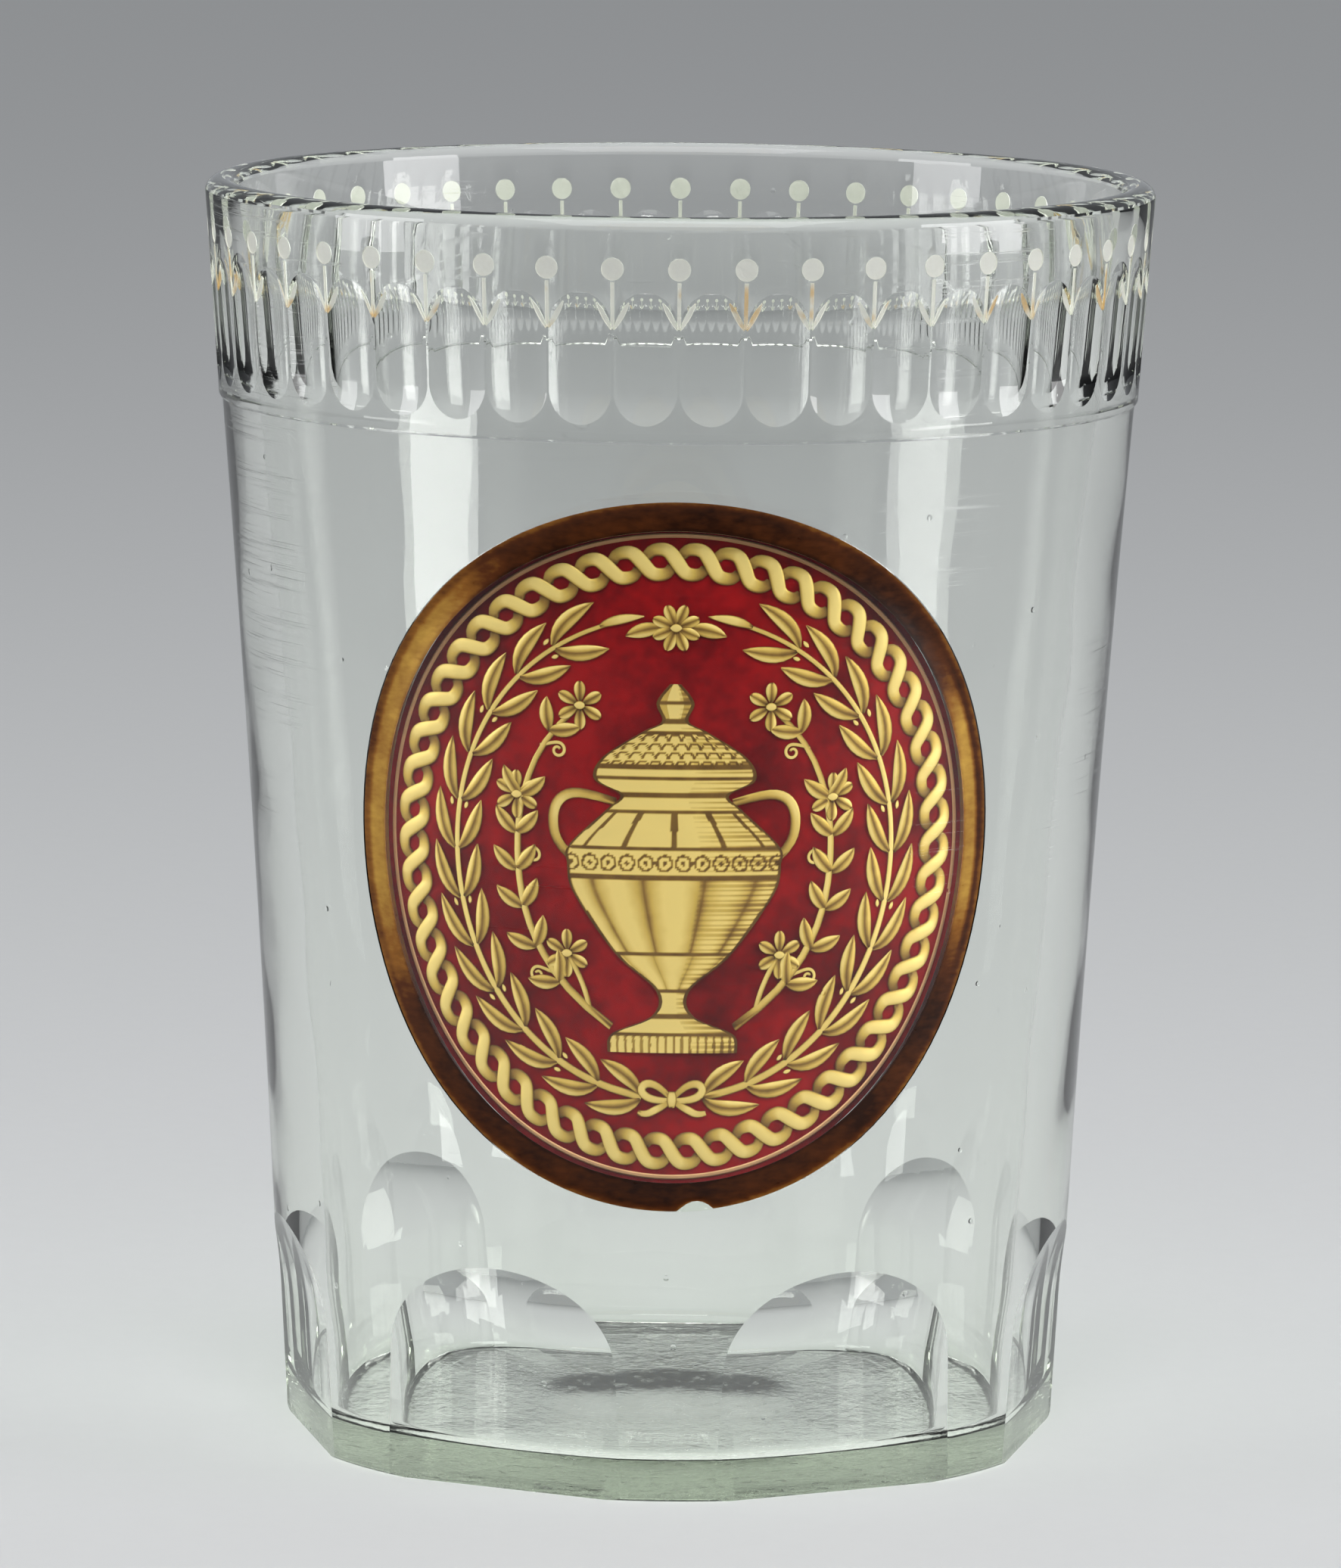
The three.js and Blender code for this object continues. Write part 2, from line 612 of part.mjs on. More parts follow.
piece('glass_body', glassBody(), clearGlass);
piece('medallion_glass', medallionGlass(), clearGlass);
piece('cement_ring', cementRing(), amber);
piece('gold_edge_line', edgeLine(), gold);
piece('gold_chain_border', chainBorder(), gold);
piece('gold_laurel_left', laurel(-1), gold);
piece('gold_laurel_right', laurel(1), gold);
piece('gold_urn', urn(), gold);
piece('gold_spray_left', spray(-1), gold);
piece('gold_spray_right', spray(1), gold);
piece('gold_top_flower', topFlower(), gold);
piece('red_lacquer', layer(lacquerFront, lacquerBack), crimson);
piece('backing_leaf', layer(backingFront, backingBack), gold);

export default beaker;
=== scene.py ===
"""Studio scene of a cut-glass beaker with a medallion let into its wall.

The finished pieces are in metres, with +Z up, the origin at the centre of the underside and the medallion
facing -Y. They are modelled in millimetres. A piece of the medallion is drawn flat, with X along the wall,
Y up it and Z out of it, and is then laid on the wall.
"""

import logging
import math
from collections.abc import Callable, Iterator, Sequence
from contextlib import contextmanager
from dataclasses import dataclass, field, replace
from enum import Enum

import bpy
from mathutils import Matrix, Vector


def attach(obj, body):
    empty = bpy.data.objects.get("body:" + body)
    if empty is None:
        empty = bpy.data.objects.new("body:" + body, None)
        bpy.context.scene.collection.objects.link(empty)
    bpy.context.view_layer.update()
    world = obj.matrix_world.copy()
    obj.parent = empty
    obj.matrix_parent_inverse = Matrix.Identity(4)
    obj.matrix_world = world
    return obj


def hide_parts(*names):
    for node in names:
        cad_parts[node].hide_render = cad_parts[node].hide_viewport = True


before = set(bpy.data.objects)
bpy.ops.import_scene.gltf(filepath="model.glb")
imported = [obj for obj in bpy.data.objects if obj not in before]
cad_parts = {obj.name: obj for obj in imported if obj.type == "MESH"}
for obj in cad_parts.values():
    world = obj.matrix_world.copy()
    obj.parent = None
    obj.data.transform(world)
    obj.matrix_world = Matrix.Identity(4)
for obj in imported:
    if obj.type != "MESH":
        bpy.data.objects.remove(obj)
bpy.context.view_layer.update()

MM = 0.001
Piece = bpy.types.Object
Flat = tuple[float, float]
Colour = tuple[float, float, float]
log = logging.getLogger("beaker")


class Pick(Enum):
    """What edit mode works on."""

    POINTS = "VERT"
    EDGES = "EDGE"


class Side(Enum):
    """The two sides of the medallion, with the sign of their X."""

    LEFT = -1
    RIGHT = 1


def only(*pieces: Piece) -> None:
    """Selects these pieces alone, the first one active.

    Args:
        pieces: What to select; nothing where there is none.
    """
    bpy.ops.object.select_all(action="DESELECT")
    for piece in pieces:
        piece.select_set(True)
    if pieces:
        bpy.context.view_layer.objects.active = pieces[0]


def added(name: str) -> Piece:
    """Names the primitive that has just been added.

    Args:
        name: Its name.

    Returns:
        The primitive.
    """
    piece = bpy.context.active_object
    piece.name = name
    piece.data.name = name
    return piece


@contextmanager
def editing(piece: Piece, pick: Pick = Pick.POINTS) -> Iterator[None]:
    """Edit mode on one piece, with all of it selected.

    Args:
        piece: The piece to edit.
        pick: What is selected in it.

    Returns:
        The context.
    """
    only(piece)
    bpy.ops.object.mode_set(mode="EDIT")
    bpy.ops.mesh.select_mode(type=pick.value)
    bpy.ops.mesh.select_all(action="SELECT")
    try:
        yield
    finally:
        bpy.ops.object.mode_set(mode="OBJECT")


def settle(piece: Piece) -> Piece:
    """Puts a piece's place, turn and scale into its mesh.

    Args:
        piece: The piece.

    Returns:
        The same piece, at the origin, unturned and unscaled.
    """
    only(piece)
    bpy.ops.object.transform_apply(location=True, rotation=True, scale=True)
    return piece


def twin(piece: Piece) -> Piece:
    """A copy with a mesh of its own.

    Args:
        piece: The piece to copy.

    Returns:
        The copy.
    """
    only(piece)
    bpy.ops.object.duplicate(linked=False)
    return bpy.context.active_object


def joined(pieces: Sequence[Piece], name: str) -> Piece:
    """Joins pieces into one.

    Args:
        pieces: The pieces, at least one.
        name: The name of the whole.

    Returns:
        The whole.
    """
    only(*pieces)
    if len(pieces) > 1:
        bpy.ops.object.join()
    return added(name)


def closed(piece: Piece, reach: float = 1e-4) -> Piece:
    """Merges a piece's doubles and turns its faces outwards.

    Args:
        piece: The piece.
        reach: How near doubles lie.

    Returns:
        The same piece.
    """
    with editing(piece):
        bpy.ops.mesh.remove_doubles(threshold=reach)
        bpy.ops.mesh.normals_make_consistent(inside=False)
    return piece


def without_slivers(piece: Piece, reach: float = 1e-6) -> Piece:
    """Splits a piece's faces into triangles and closes up those with no area.

    Args:
        piece: The piece.
        reach: How thin a sliver is.

    Returns:
        The same piece.
    """
    with editing(piece):
        bpy.ops.mesh.quads_convert_to_tris(quad_method="BEAUTY", ngon_method="BEAUTY")
        bpy.ops.mesh.dissolve_degenerate(threshold=reach)
    return piece


def apply_modifier(piece: Piece, kind: str, **settings: object) -> Piece:
    """Adds a modifier with these settings and applies it.

    Args:
        piece: The piece.
        kind: The modifier's type.
        settings: Its settings, by name.

    Returns:
        The same piece.
    """
    only(piece)
    modifier = piece.modifiers.new(kind.title(), kind)
    for key, value in settings.items():
        setattr(modifier, key, value)
    bpy.ops.object.modifier_apply(modifier=modifier.name)
    return piece


def cut(body: Piece, cutter: Piece) -> Piece:
    """Cuts a closed piece out of a body; the new faces keep the cutter's finish.

    Args:
        body: What is cut.
        cutter: The shape to take away, which is removed.

    Returns:
        The body.
    """
    apply_modifier(
        body, "BOOLEAN", object=cutter, operation="DIFFERENCE", solver="MANIFOLD", material_mode="TRANSFER"
    )
    bpy.data.objects.remove(cutter)
    return body


def traced(name: str, points: Sequence[Vector]) -> Piece:
    """A chain of edges, drawn by extruding one point.

    Args:
        name: The piece's name.
        points: The places that the chain goes through.

    Returns:
        The chain, as a piece with no faces.
    """
    only()
    bpy.ops.mesh.primitive_plane_add(size=1)
    piece = added(name)
    with editing(piece):
        bpy.ops.mesh.merge(type="CENTER")
        bpy.ops.transform.translate(value=points[0])
        for start, end in zip(points, points[1:]):
            bpy.ops.mesh.extrude_vertices_move(TRANSFORM_OT_translate={"value": end - start})
    return piece


def turned(name: str, profile: Sequence[Flat], steps: int) -> Piece:
    """Spins a profile of (radius, height) pairs, which starts and ends on the axis, into a closed body.

    Args:
        name: The body's name.
        profile: The pairs.
        steps: How many facets it has round it.

    Returns:
        The body.
    """
    piece = traced(name, [Vector((radius, 0, height)) for radius, height in profile])
    with editing(piece):
        bpy.ops.mesh.spin(steps=steps, angle=math.tau, center=(0, 0, 0), axis=(0, 0, 1), use_auto_merge=True)
    return closed(piece)


def ringed(piece: Piece, count: int, first: float = 0.0) -> Iterator[Piece]:
    """Copies a piece, evenly spaced about the beaker's axis, and removes it.

    Args:
        piece: The piece to copy.
        count: How many copies there are.
        first: How far the first one is turned, as a share of the spacing.

    Returns:
        The copies, each made when it is asked for.
    """
    for k in range(count):
        copy = twin(piece)
        copy.rotation_euler.z = math.tau * (k + first) / count
        yield settle(copy)
    bpy.data.objects.remove(piece)


def moved(piece: Piece, place: Callable[[Vector], Vector]) -> Piece:
    """Moves each point of a piece to where place says, for bends that no operator makes.

    Args:
        piece: The piece.
        place: Gives a point's new place.

    Returns:
        The same piece.
    """
    for point in piece.data.vertices:
        point.co = place(point.co)
    return piece


def blend(start: float, end: float, share: float) -> float:
    """A value part of the way from start to end."""
    return start + (end - start) * share


@dataclass(frozen=True)
class Beaker:
    """The beaker's driving sizes in millimetres, as the frame has them."""

    height: float = 115
    foot_radius: float = 35.6
    rim_radius: float = 43.2
    side_bow: float = 0.7
    foot_edge: float = 0.6
    lip_rise: float = 1.3
    foot_wall: float = 5
    rim_wall: float = 2.9
    floor_thickness: float = 3.1
    floor_fillet: float = 1.4
    hollow_radius: float = 11
    hollow_depth: float = 0.7
    collar_height: float = 19.9
    collar_step: float = 0.3
    collar_bevel: float = 0.45
    flute_count: int = 46
    flute_rise: float = 1.1
    flute_length: float = 11.6
    flute_depth: float = 0.5
    flute_land: float = 0.25
    arch_count: int = 7
    arch_half_angle: float = math.radians(18)
    arch_spring: float = 12
    arch_taper: float = 0.25
    arch_peak: float = 20.5
    medallion_width: float = 61.3
    medallion_top_margin: float = 5
    medallion_foot_margin: float = 6

    @property
    def collar_bottom(self) -> float:
        """Height of the collar's lower edge."""
        return self.height - self.collar_height

    @property
    def medallion_height(self) -> float:
        """Height of the medallion, with its ring of cement."""
        return self.collar_bottom - self.medallion_top_margin - self.arch_peak - self.medallion_foot_margin

    @property
    def medallion_centre(self) -> float:
        """Height of the middle of the medallion."""
        return self.arch_peak + self.medallion_foot_margin + self.medallion_height / 2

    def side_radius(self, z: float) -> float:
        """Radius of the plain wall's outside at a height."""
        share = z / self.height
        return blend(self.foot_radius, self.rim_radius, share) - 4 * self.side_bow * share * (1 - share)

    def outer_radius(self, z: float) -> float:
        """Radius of the outside at a height, with the collar but without the cuts.

        Args:
            z: The height.

        Returns:
            The radius.
        """
        above = min(max((z - self.collar_bottom) / self.collar_bevel, 0), 1)
        to_lip = min(max((self.height - z) / self.collar_height, 0), 1)
        return self.side_radius(z) + self.collar_step * above * to_lip

    def inner_radius(self, z: float) -> float:
        """Radius of the inside at a height above the floor."""
        return self.side_radius(z) - blend(self.foot_wall, self.rim_wall, z / self.height)

    def on_wall(self, flat: Vector) -> Vector:
        """The place in metres of a flat point: X along the wall, Y up from the medallion's middle, Z out.

        Args:
            flat: The flat point, in millimetres.

        Returns:
            The place.
        """
        z = self.medallion_centre + flat.y
        radius = self.side_radius(z) + flat.z
        angle = flat.x / self.side_radius(self.medallion_centre)
        return Vector((radius * math.sin(angle), -radius * math.cos(angle), z)) * MM

    def semi_axes(self, inset: float) -> Flat:
        """Half the width and height of the medallion's oval, set in from the edge of the recess."""
        return self.medallion_width / 2 - inset, self.medallion_height / 2 - inset

    def oval_point(self, turn: float, inset: float) -> Flat:
        """A point of the medallion's oval; the turn starts straight down and runs to +X."""
        width, height = self.semi_axes(inset)
        return width * math.sin(turn), -height * math.cos(turn)


@dataclass(frozen=True)
class Layers:
    """Depths and insets of the medallion's parts in millimetres, as the frame has them."""

    cement_width: float = 2.6
    cement_sink: float = 0.12
    recess_bevel: float = 1.3
    plaque_bevel: float = 0.4
    plaque_thickness: float = 1.3
    leaf_thickness: float = 0.12
    lacquer_thickness: float = 0.14
    layer_gap: float = 0.12
    line_gap: float = 0.15
    line_width: float = 0.6
    chain_gap: float = 0.25
    chain_width: float = 3.5
    chain_pitch: float = 3
    laurel_gap: float = 0.75
    laurel_width: float = 4.4
    laurel_leaves: int = 13
    laurel_start: float = math.radians(8)
    laurel_end: float = math.radians(160)
    urn_width: float = 0.53
    urn_foot_gap: float = 2
    urn_lid_gap: float = 4

    @property
    def leaf_back(self) -> float:
        """Depth of the back of the gold leaf."""
        return self.plaque_thickness + self.layer_gap + self.leaf_thickness

    @property
    def lacquer_back(self) -> float:
        """Depth of the back of the lacquer."""
        return self.leaf_back + self.layer_gap + self.lacquer_thickness

    @property
    def backing_back(self) -> float:
        """Depth of the back of the backing leaf."""
        return self.lacquer_back + self.layer_gap + self.leaf_thickness

    @property
    def recess(self) -> float:
        """Depth of the recess's flat ground."""
        return self.backing_back + self.layer_gap

    @property
    def line_outer(self) -> float:
        """Inset of the gold line's outer edge."""
        return self.cement_width + self.line_gap

    @property
    def chain_middle(self) -> float:
        """Inset of the chain's middle."""
        return self.line_outer + self.line_width + self.chain_gap + self.chain_width / 2

    @property
    def laurel_middle(self) -> float:
        """Inset of the laurels' stems."""
        return self.chain_middle + self.chain_width / 2 + self.laurel_gap + self.laurel_width / 2

    @property
    def laurel_inner(self) -> float:
        """Inset of the laurels' inner edge, inside which the field lies."""
        return self.laurel_middle + self.laurel_width / 2

    def recess_side(self, depth: float) -> float:
        """Inset of the recess's sloping side at a depth."""
        return self.recess_bevel * depth / self.recess

    def plaque_edge(self, depth: float) -> float:
        """Inset of the plaque's sloping edge at a depth."""
        return self.cement_width - self.plaque_bevel * depth / self.plaque_thickness


class Wire:
    """One output of a material's nodes, on which Python's arithmetic adds Math nodes."""

    def __init__(self, shader: "Shader", socket: bpy.types.NodeSocket) -> None:
        """Wraps a socket of a shader."""
        self.shader = shader
        self.socket = socket

    def math(self, operation: str, *others: "Wire | float") -> "Wire":
        """A Math node whose first value is this one."""
        return self.shader.node("ShaderNodeMath", {"operation": operation}, dict(enumerate((self, *others))))

    def __add__(self, other: "Wire | float") -> "Wire":
        """The sum."""
        return self.math("ADD", other)

    def __sub__(self, other: "Wire | float") -> "Wire":
        """The difference."""
        return self.math("SUBTRACT", other)

    def __rsub__(self, other: float) -> "Wire":
        """A number less this value."""
        return self.math("MULTIPLY", -1).math("ADD", other)

    def __mul__(self, other: "Wire | float") -> "Wire":
        """The product."""
        return self.math("MULTIPLY", other)

    __radd__ = __add__
    __rmul__ = __mul__

    def rising(self, low: float, high: float) -> "Wire":
        """A soft step from 0 at low to 1 at high; falling where low is the larger.

        Args:
            low: Where it is 0.
            high: Where it is 1.

        Returns:
            The step.
        """
        return self.shader.node(
            "ShaderNodeMapRange",
            {"interpolation_type": "SMOOTHSTEP"},
            {"Value": self, "From Min": low, "From Max": high, "To Min": 0.0, "To Max": 1.0},
        )


class Shader:
    """The nodes of one material."""

    def __init__(self, name: str, owner: bpy.types.World | None = None) -> None:
        """Starts an empty material, or empties the nodes of a world.

        Args:
            name: The material's name.
            owner: The world, where it is for one.
        """
        self.material = owner or bpy.data.materials.new(name)
        self.material.use_nodes = True
        self.tree = self.material.node_tree
        self.tree.nodes.clear()

    def node(
        self,
        kind: str,
        settings: dict[str, object] | None = None,
        sockets: dict[str | int, object] | None = None,
        output: str | int = 0,
    ) -> Wire:
        """Adds a node.

        Args:
            kind: The node's type.
            settings: Its settings, and "stops", a list of (place, colour), for a ramp.
            sockets: The values or wires of its inputs; a colour has three values.
            output: Which of its outputs is wanted.

        Returns:
            That output.
        """
        made = self.tree.nodes.new(kind)
        for key, value in (settings or {}).items():
            if key == "stops":
                elements = made.color_ramp.elements
                elements.remove(elements[1])
                elements[0].position = value[0][0]
                elements[0].color = (*value[0][1], 1)
                for place, colour in value[1:]:
                    elements.new(place).color = (*colour, 1)
            else:
                setattr(made, key, value)
        for key, value in (sockets or {}).items():
            socket = made.inputs[key]
            if isinstance(value, Wire):
                self.tree.links.new(value.socket, socket)
            else:
                socket.default_value = (*value, 1) if socket.type == "RGBA" else value
        return Wire(self, made.outputs[output] if made.outputs else None)

    def place(self, scale: tuple[float, float, float] = (1, 1, 1)) -> Wire:
        """Object coordinates, stretched."""
        where = self.node("ShaderNodeTexCoord", output="Object")
        return self.node("ShaderNodeMapping", sockets={"Vector": where, "Scale": scale})

    def along(self, axis: str, space: str = "Object") -> Wire:
        """One coordinate of a place: X, Y or Z."""
        where = self.node("ShaderNodeTexCoord", output=space)
        return self.node("ShaderNodeSeparateXYZ", sockets={0: where}, output=axis)

    def noise(self, where: Wire, scale: float, detail: float = 2, roughness: float = 0.5) -> Wire:
        """A cloudy value round 0.5.

        Args:
            where: The place that is read.
            scale: How fine it is.
            detail: How many finer layers it has.
            roughness: How strong they are.

        Returns:
            The value.
        """
        return self.node(
            "ShaderNodeTexNoise",
            sockets={"Vector": where, "Scale": scale, "Detail": detail, "Roughness": roughness},
        )

    def ramp(self, value: Wire, stops: list[tuple[float, Colour]]) -> Wire:
        """A colour read from a value."""
        return self.node("ShaderNodeValToRGB", {"stops": stops}, {"Fac": value})

    def mixed(self, share: Wire | float, first: Wire | Colour, second: Wire | Colour) -> Wire:
        """A colour part of the way from the first to the second."""
        return self.node("ShaderNodeMix", {"data_type": "RGBA"}, {0: share, 6: first, 7: second}, output=2)

    def bump(self, height: Wire, strength: float, distance: float, under: Wire | None = None) -> Wire:
        """A normal that follows a height; under is another bump below it.

        Args:
            height: The height, from 0 to 1.
            strength: How much of it shows.
            distance: How high 1 is, in metres.
            under: Another bump that it lies on.

        Returns:
            The normal.
        """
        sockets = {"Height": height, "Strength": strength, "Distance": distance}
        if under:
            sockets["Normal"] = under
        return self.node("ShaderNodeBump", sockets=sockets)

    def finish(self, surface: Wire, inside: Wire | None = None) -> bpy.types.Material:
        """Sends a surface, and what fills the piece, to the material's output.

        Args:
            surface: The surface.
            inside: What fills the piece.

        Returns:
            The material.
        """
        sockets = {"Surface": surface}
        if inside:
            sockets["Volume"] = inside
        self.node("ShaderNodeOutputMaterial", sockets=sockets)
        return self.material


@dataclass(frozen=True)
class Glass:
    """Polished glass with fine wear, which lets the lamps through to what lies behind it.

    Args:
        name: The material's name.
        tint: Its colour at the surface.
        shade: What it leaves of a lamp's light that falls through it.
        waves: How strongly its surface waves.
        scratches: How much of the wear it has.
        depth_colour: The colour that it takes on in depth.
        depth_strength: How quickly, per metre.
        bend: Its index of refraction.
        slot: The record's slot; it is not used.
    """

    name: str
    tint: Colour = (0.985, 0.993, 0.985)
    shade: Colour = (0.86, 0.88, 0.86)
    waves: float = 0.35
    scratches: float = 1.0
    depth_colour: Colour = (0.74, 0.88, 0.60)
    depth_strength: float = 14.0
    bend: float = 1.51
    slot: str = "clear_glass"

    def material(self) -> bpy.types.Material:
        """The finish's material.

        Returns:
            The material.
        """
        shader = Shader(self.name)
        place = shader.place()
        streaks = shader.noise(shader.place((24, 24, 4200)), 1, 3, 0.65)
        patches = shader.noise(place, 38, 2)
        height = shader.along("Z")
        # A hand wears the upper part of the wall, and a table the ring that the beaker stands on.
        handled = patches.rising(0.45, 0.7) * height.rising(0.03, 0.06)
        worn = streaks.rising(0.57, 0.72) * handled * self.scratches
        seeds = shader.node(
            "ShaderNodeTexVoronoi", {"feature": "F1"}, {"Vector": place, "Scale": 160.0, "Randomness": 1.0}
        )
        waves = shader.noise(place, 55, 1)
        wavy = shader.bump(waves, self.waves, 0.0005)
        dimpled = shader.bump(seeds.rising(0.02, 0.05), 0.35, 0.0001, wavy)
        scored = shader.bump(1 - worn, 0.55, 0.00002, dimpled)
        ground = height.rising(0.0012, 0.0004)
        grit = shader.noise(place, 520, 4, 0.65)
        mottled = shader.bump(grit * ground, 0.5, 0.00014, scored)
        clear = shader.node(
            "ShaderNodeBsdfPrincipled",
            sockets={
                "Base Color": self.tint,
                "Roughness": worn * 0.35 + ground * grit.rising(0.5, 0.65) * 0.3 + 0.01,
                "IOR": self.bend,
                "Transmission Weight": 1.0,
                "Normal": mottled,
            },
        )
        depth = shader.node(
            "ShaderNodeVolumeAbsorption", sockets={"Color": self.depth_colour, "Density": self.depth_strength}
        )
        return shader.finish(lit_through(shader, clear, self.shade), depth)


def lit_through(shader: Shader, surface: Wire, shade: Colour) -> Wire:
    """A surface that a lamp's light passes straight through, dimmed by the shade.

    Args:
        shader: The material's nodes.
        surface: The surface.
        shade: The colour that is left.

    Returns:
        The surface for the material's output.
    """
    path = shader.node("ShaderNodeLightPath", output="Is Shadow Ray")
    passing = shader.node("ShaderNodeBsdfTransparent", sockets={"Color": shade})
    return shader.node("ShaderNodeMixShader", sockets={0: path, 1: surface, 2: passing})


@dataclass(frozen=True)
class MattGlass:
    """Glass that a small wheel has engraved and left matt, with traces of old gilding."""

    name: str = "matt_glass"
    tint: Colour = (0.92, 0.93, 0.88)
    shade: Colour = (0.75, 0.75, 0.72)
    chalk: Colour = (0.74, 0.74, 0.67)
    gilding: Colour = (0.62, 0.40, 0.12)
    slot: str = "clear_glass"

    def material(self) -> bpy.types.Material:
        """The finish's material.

        Returns:
            The material.
        """
        shader = Shader(self.name)
        grain = shader.noise(shader.place(), 2600, 2)
        soft = shader.node(
            "ShaderNodeBsdfPrincipled",
            sockets={
                "Base Color": self.tint,
                "Roughness": grain * 0.3 + 0.4,
                "IOR": 1.51,
                "Transmission Weight": 1.0,
                "Normal": shader.bump(grain, 0.6, 0.00005),
            },
        )
        below_heads = shader.along("Z").rising(0.1095, 0.1085)
        left_over = shader.noise(shader.place(), 230, 3).rising(0.52, 0.62) * below_heads
        colour = shader.mixed(left_over, self.chalk, self.gilding)
        chalk = shader.node(
            "ShaderNodeBsdfPrincipled", sockets={"Base Color": colour, "Roughness": grain * 0.2 + 0.7}
        )
        frosted = shader.node("ShaderNodeMixShader", sockets={0: grain * 0.4 + 0.45, 1: soft, 2: chalk})
        return shader.finish(lit_through(shader, frosted, self.shade))


@dataclass(frozen=True)
class Gold:
    """Gold leaf under glass, with its shading scratched through to the brown below."""

    name: str = "gold_leaf"
    middle: Colour = (0.70, 0.48, 0.11)
    light: Colour = (0.95, 0.73, 0.25)
    slot: str = "gold_leaf"

    def material(self) -> bpy.types.Material:
        """The finish's material.

        Returns:
            The material.
        """
        shader = Shader(self.name)
        depth = shader.node("ShaderNodeAttribute", {"attribute_name": "shading"}, output="Fac")
        cloud = shader.noise(shader.place(), 700, 3)
        tone = depth + (cloud - 0.5) * 0.25
        colour = shader.ramp(
            tone,
            [
                (0.0, (0.07, 0.028, 0.008)),
                (0.3, (0.30, 0.17, 0.040)),
                (0.6, self.middle),
                (0.95, self.light),
            ],
        )
        leaf = shader.node(
            "ShaderNodeBsdfPrincipled",
            sockets={
                "Base Color": colour,
                "Metallic": tone.rising(0.1, 0.6) * 0.35,
                "Roughness": cloud * 0.25 + 0.3,
                "Specular IOR Level": 0.1,
                "Normal": shader.bump(cloud, 0.2, 0.00005),
            },
        )
        return shader.finish(leaf)


@dataclass(frozen=True)
class Lacquer:
    """Crimson lacquer, darker and browner in patches, as it shows under the plaque."""

    name: str = "crimson_lacquer"
    slot: str = "lacquer"

    def material(self) -> bpy.types.Material:
        """The finish's material.

        Returns:
            The material.
        """
        shader = Shader(self.name)
        cloud = shader.noise(shader.place(), 90, 4, 0.6)
        speck = shader.noise(shader.place(), 900, 2)
        tone = cloud + (speck - 0.5) * 0.3
        colour = shader.ramp(
            tone,
            [(0.3, (0.08, 0.001, 0.002)), (0.45, (0.18, 0.002, 0.004)), (0.62, (0.31, 0.004, 0.006))],
        )
        coat = shader.node(
            "ShaderNodeBsdfPrincipled",
            sockets={"Base Color": colour, "Roughness": speck * 0.2 + 0.35, "Specular IOR Level": 0.05},
        )
        return shader.finish(coat)


@dataclass(frozen=True)
class Cement:
    """Amber and brown cement, with a painted gold reflection on its left and right and painted shade low
    down.
    """

    name: str = "amber_cement"
    slot: str = "cement"

    def material(self) -> bpy.types.Material:
        """The finish's material.

        Returns:
            The material.
        """
        shader = Shader(self.name)
        across, height = shader.along("X"), shader.along("Z")
        edge = shader.node("ShaderNodeAttribute", {"attribute_name": "shading"}, output="Fac")
        cloud = shader.noise(shader.place(), 130, 4, 0.65)
        grain = shader.noise(shader.place((1, 1, 2.5)), 800, 3)
        # Painted reflection: the ring is turned gold on its left and right, where the side lamps would show
        # in it.
        left = (across * -1).rising(0.012, 0.024) * height.rising(0.040, 0.056) * edge.rising(0.0, 0.4)
        right = across.rising(0.021, 0.026) * height.rising(0.044, 0.056) * height.rising(0.082, 0.068)
        painted_gold_reflection = left * 0.6 + right * edge.rising(0.2, 0.5) * 0.6
        # Painted highlight along the ring's outer edge, and a darker inner edge.
        painted_outer_highlight_dark_inner = edge.rising(0.25, 0.0) * 0.25 - edge.rising(0.8, 1.0) * 0.15
        # Painted shade: the lower part of the ring is darker.
        low = height.rising(0.042, 0.032) * 0.06
        tone = painted_gold_reflection + painted_outer_highlight_dark_inner - low + (cloud - 0.5) * 0.7 + (grain - 0.5) * 0.3 + 0.18
        colour = shader.ramp(
            tone,
            [
                (0.05, (0.022, 0.006, 0.002)),
                (0.3, (0.085, 0.022, 0.004)),
                (0.55, (0.26, 0.10, 0.014)),
                (0.95, (0.62, 0.37, 0.07)),
            ],
        )
        body = shader.node(
            "ShaderNodeBsdfPrincipled",
            sockets={
                "Base Color": colour,
                "Roughness": grain * 0.2 + 0.22,
                "Metallic": tone.rising(0.6, 0.95) * 0.5,
                "Specular IOR Level": 0.12,
                "Coat Weight": 0.06,
                "Normal": shader.bump(cloud * 0.7 + grain * 0.3, 0.3, 0.0002),
            },
        )
        return shader.finish(body)


def dressed(piece: Piece, nodes: Sequence[str], finish: object, smooth: float = 30) -> Piece:
    """Finishes a piece and puts it in its node's place.

    Args:
        piece: The piece, in metres and in place.
        nodes: The nodes of the frame that it stands for.
        finish: One of the finishes, with a material and a slot.
        smooth: The angle in degrees up to which its facets are smoothed.

    Returns:
        The piece.
    """
    only(piece)
    bpy.ops.object.shade_smooth_by_angle(angle=math.radians(smooth))
    if not piece.data.materials:
        piece.data.materials.append(finish.material())
    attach(piece, "root")
    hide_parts(*nodes)
    log.info("%s: %d faces", piece.name, len(piece.data.polygons))
    return piece


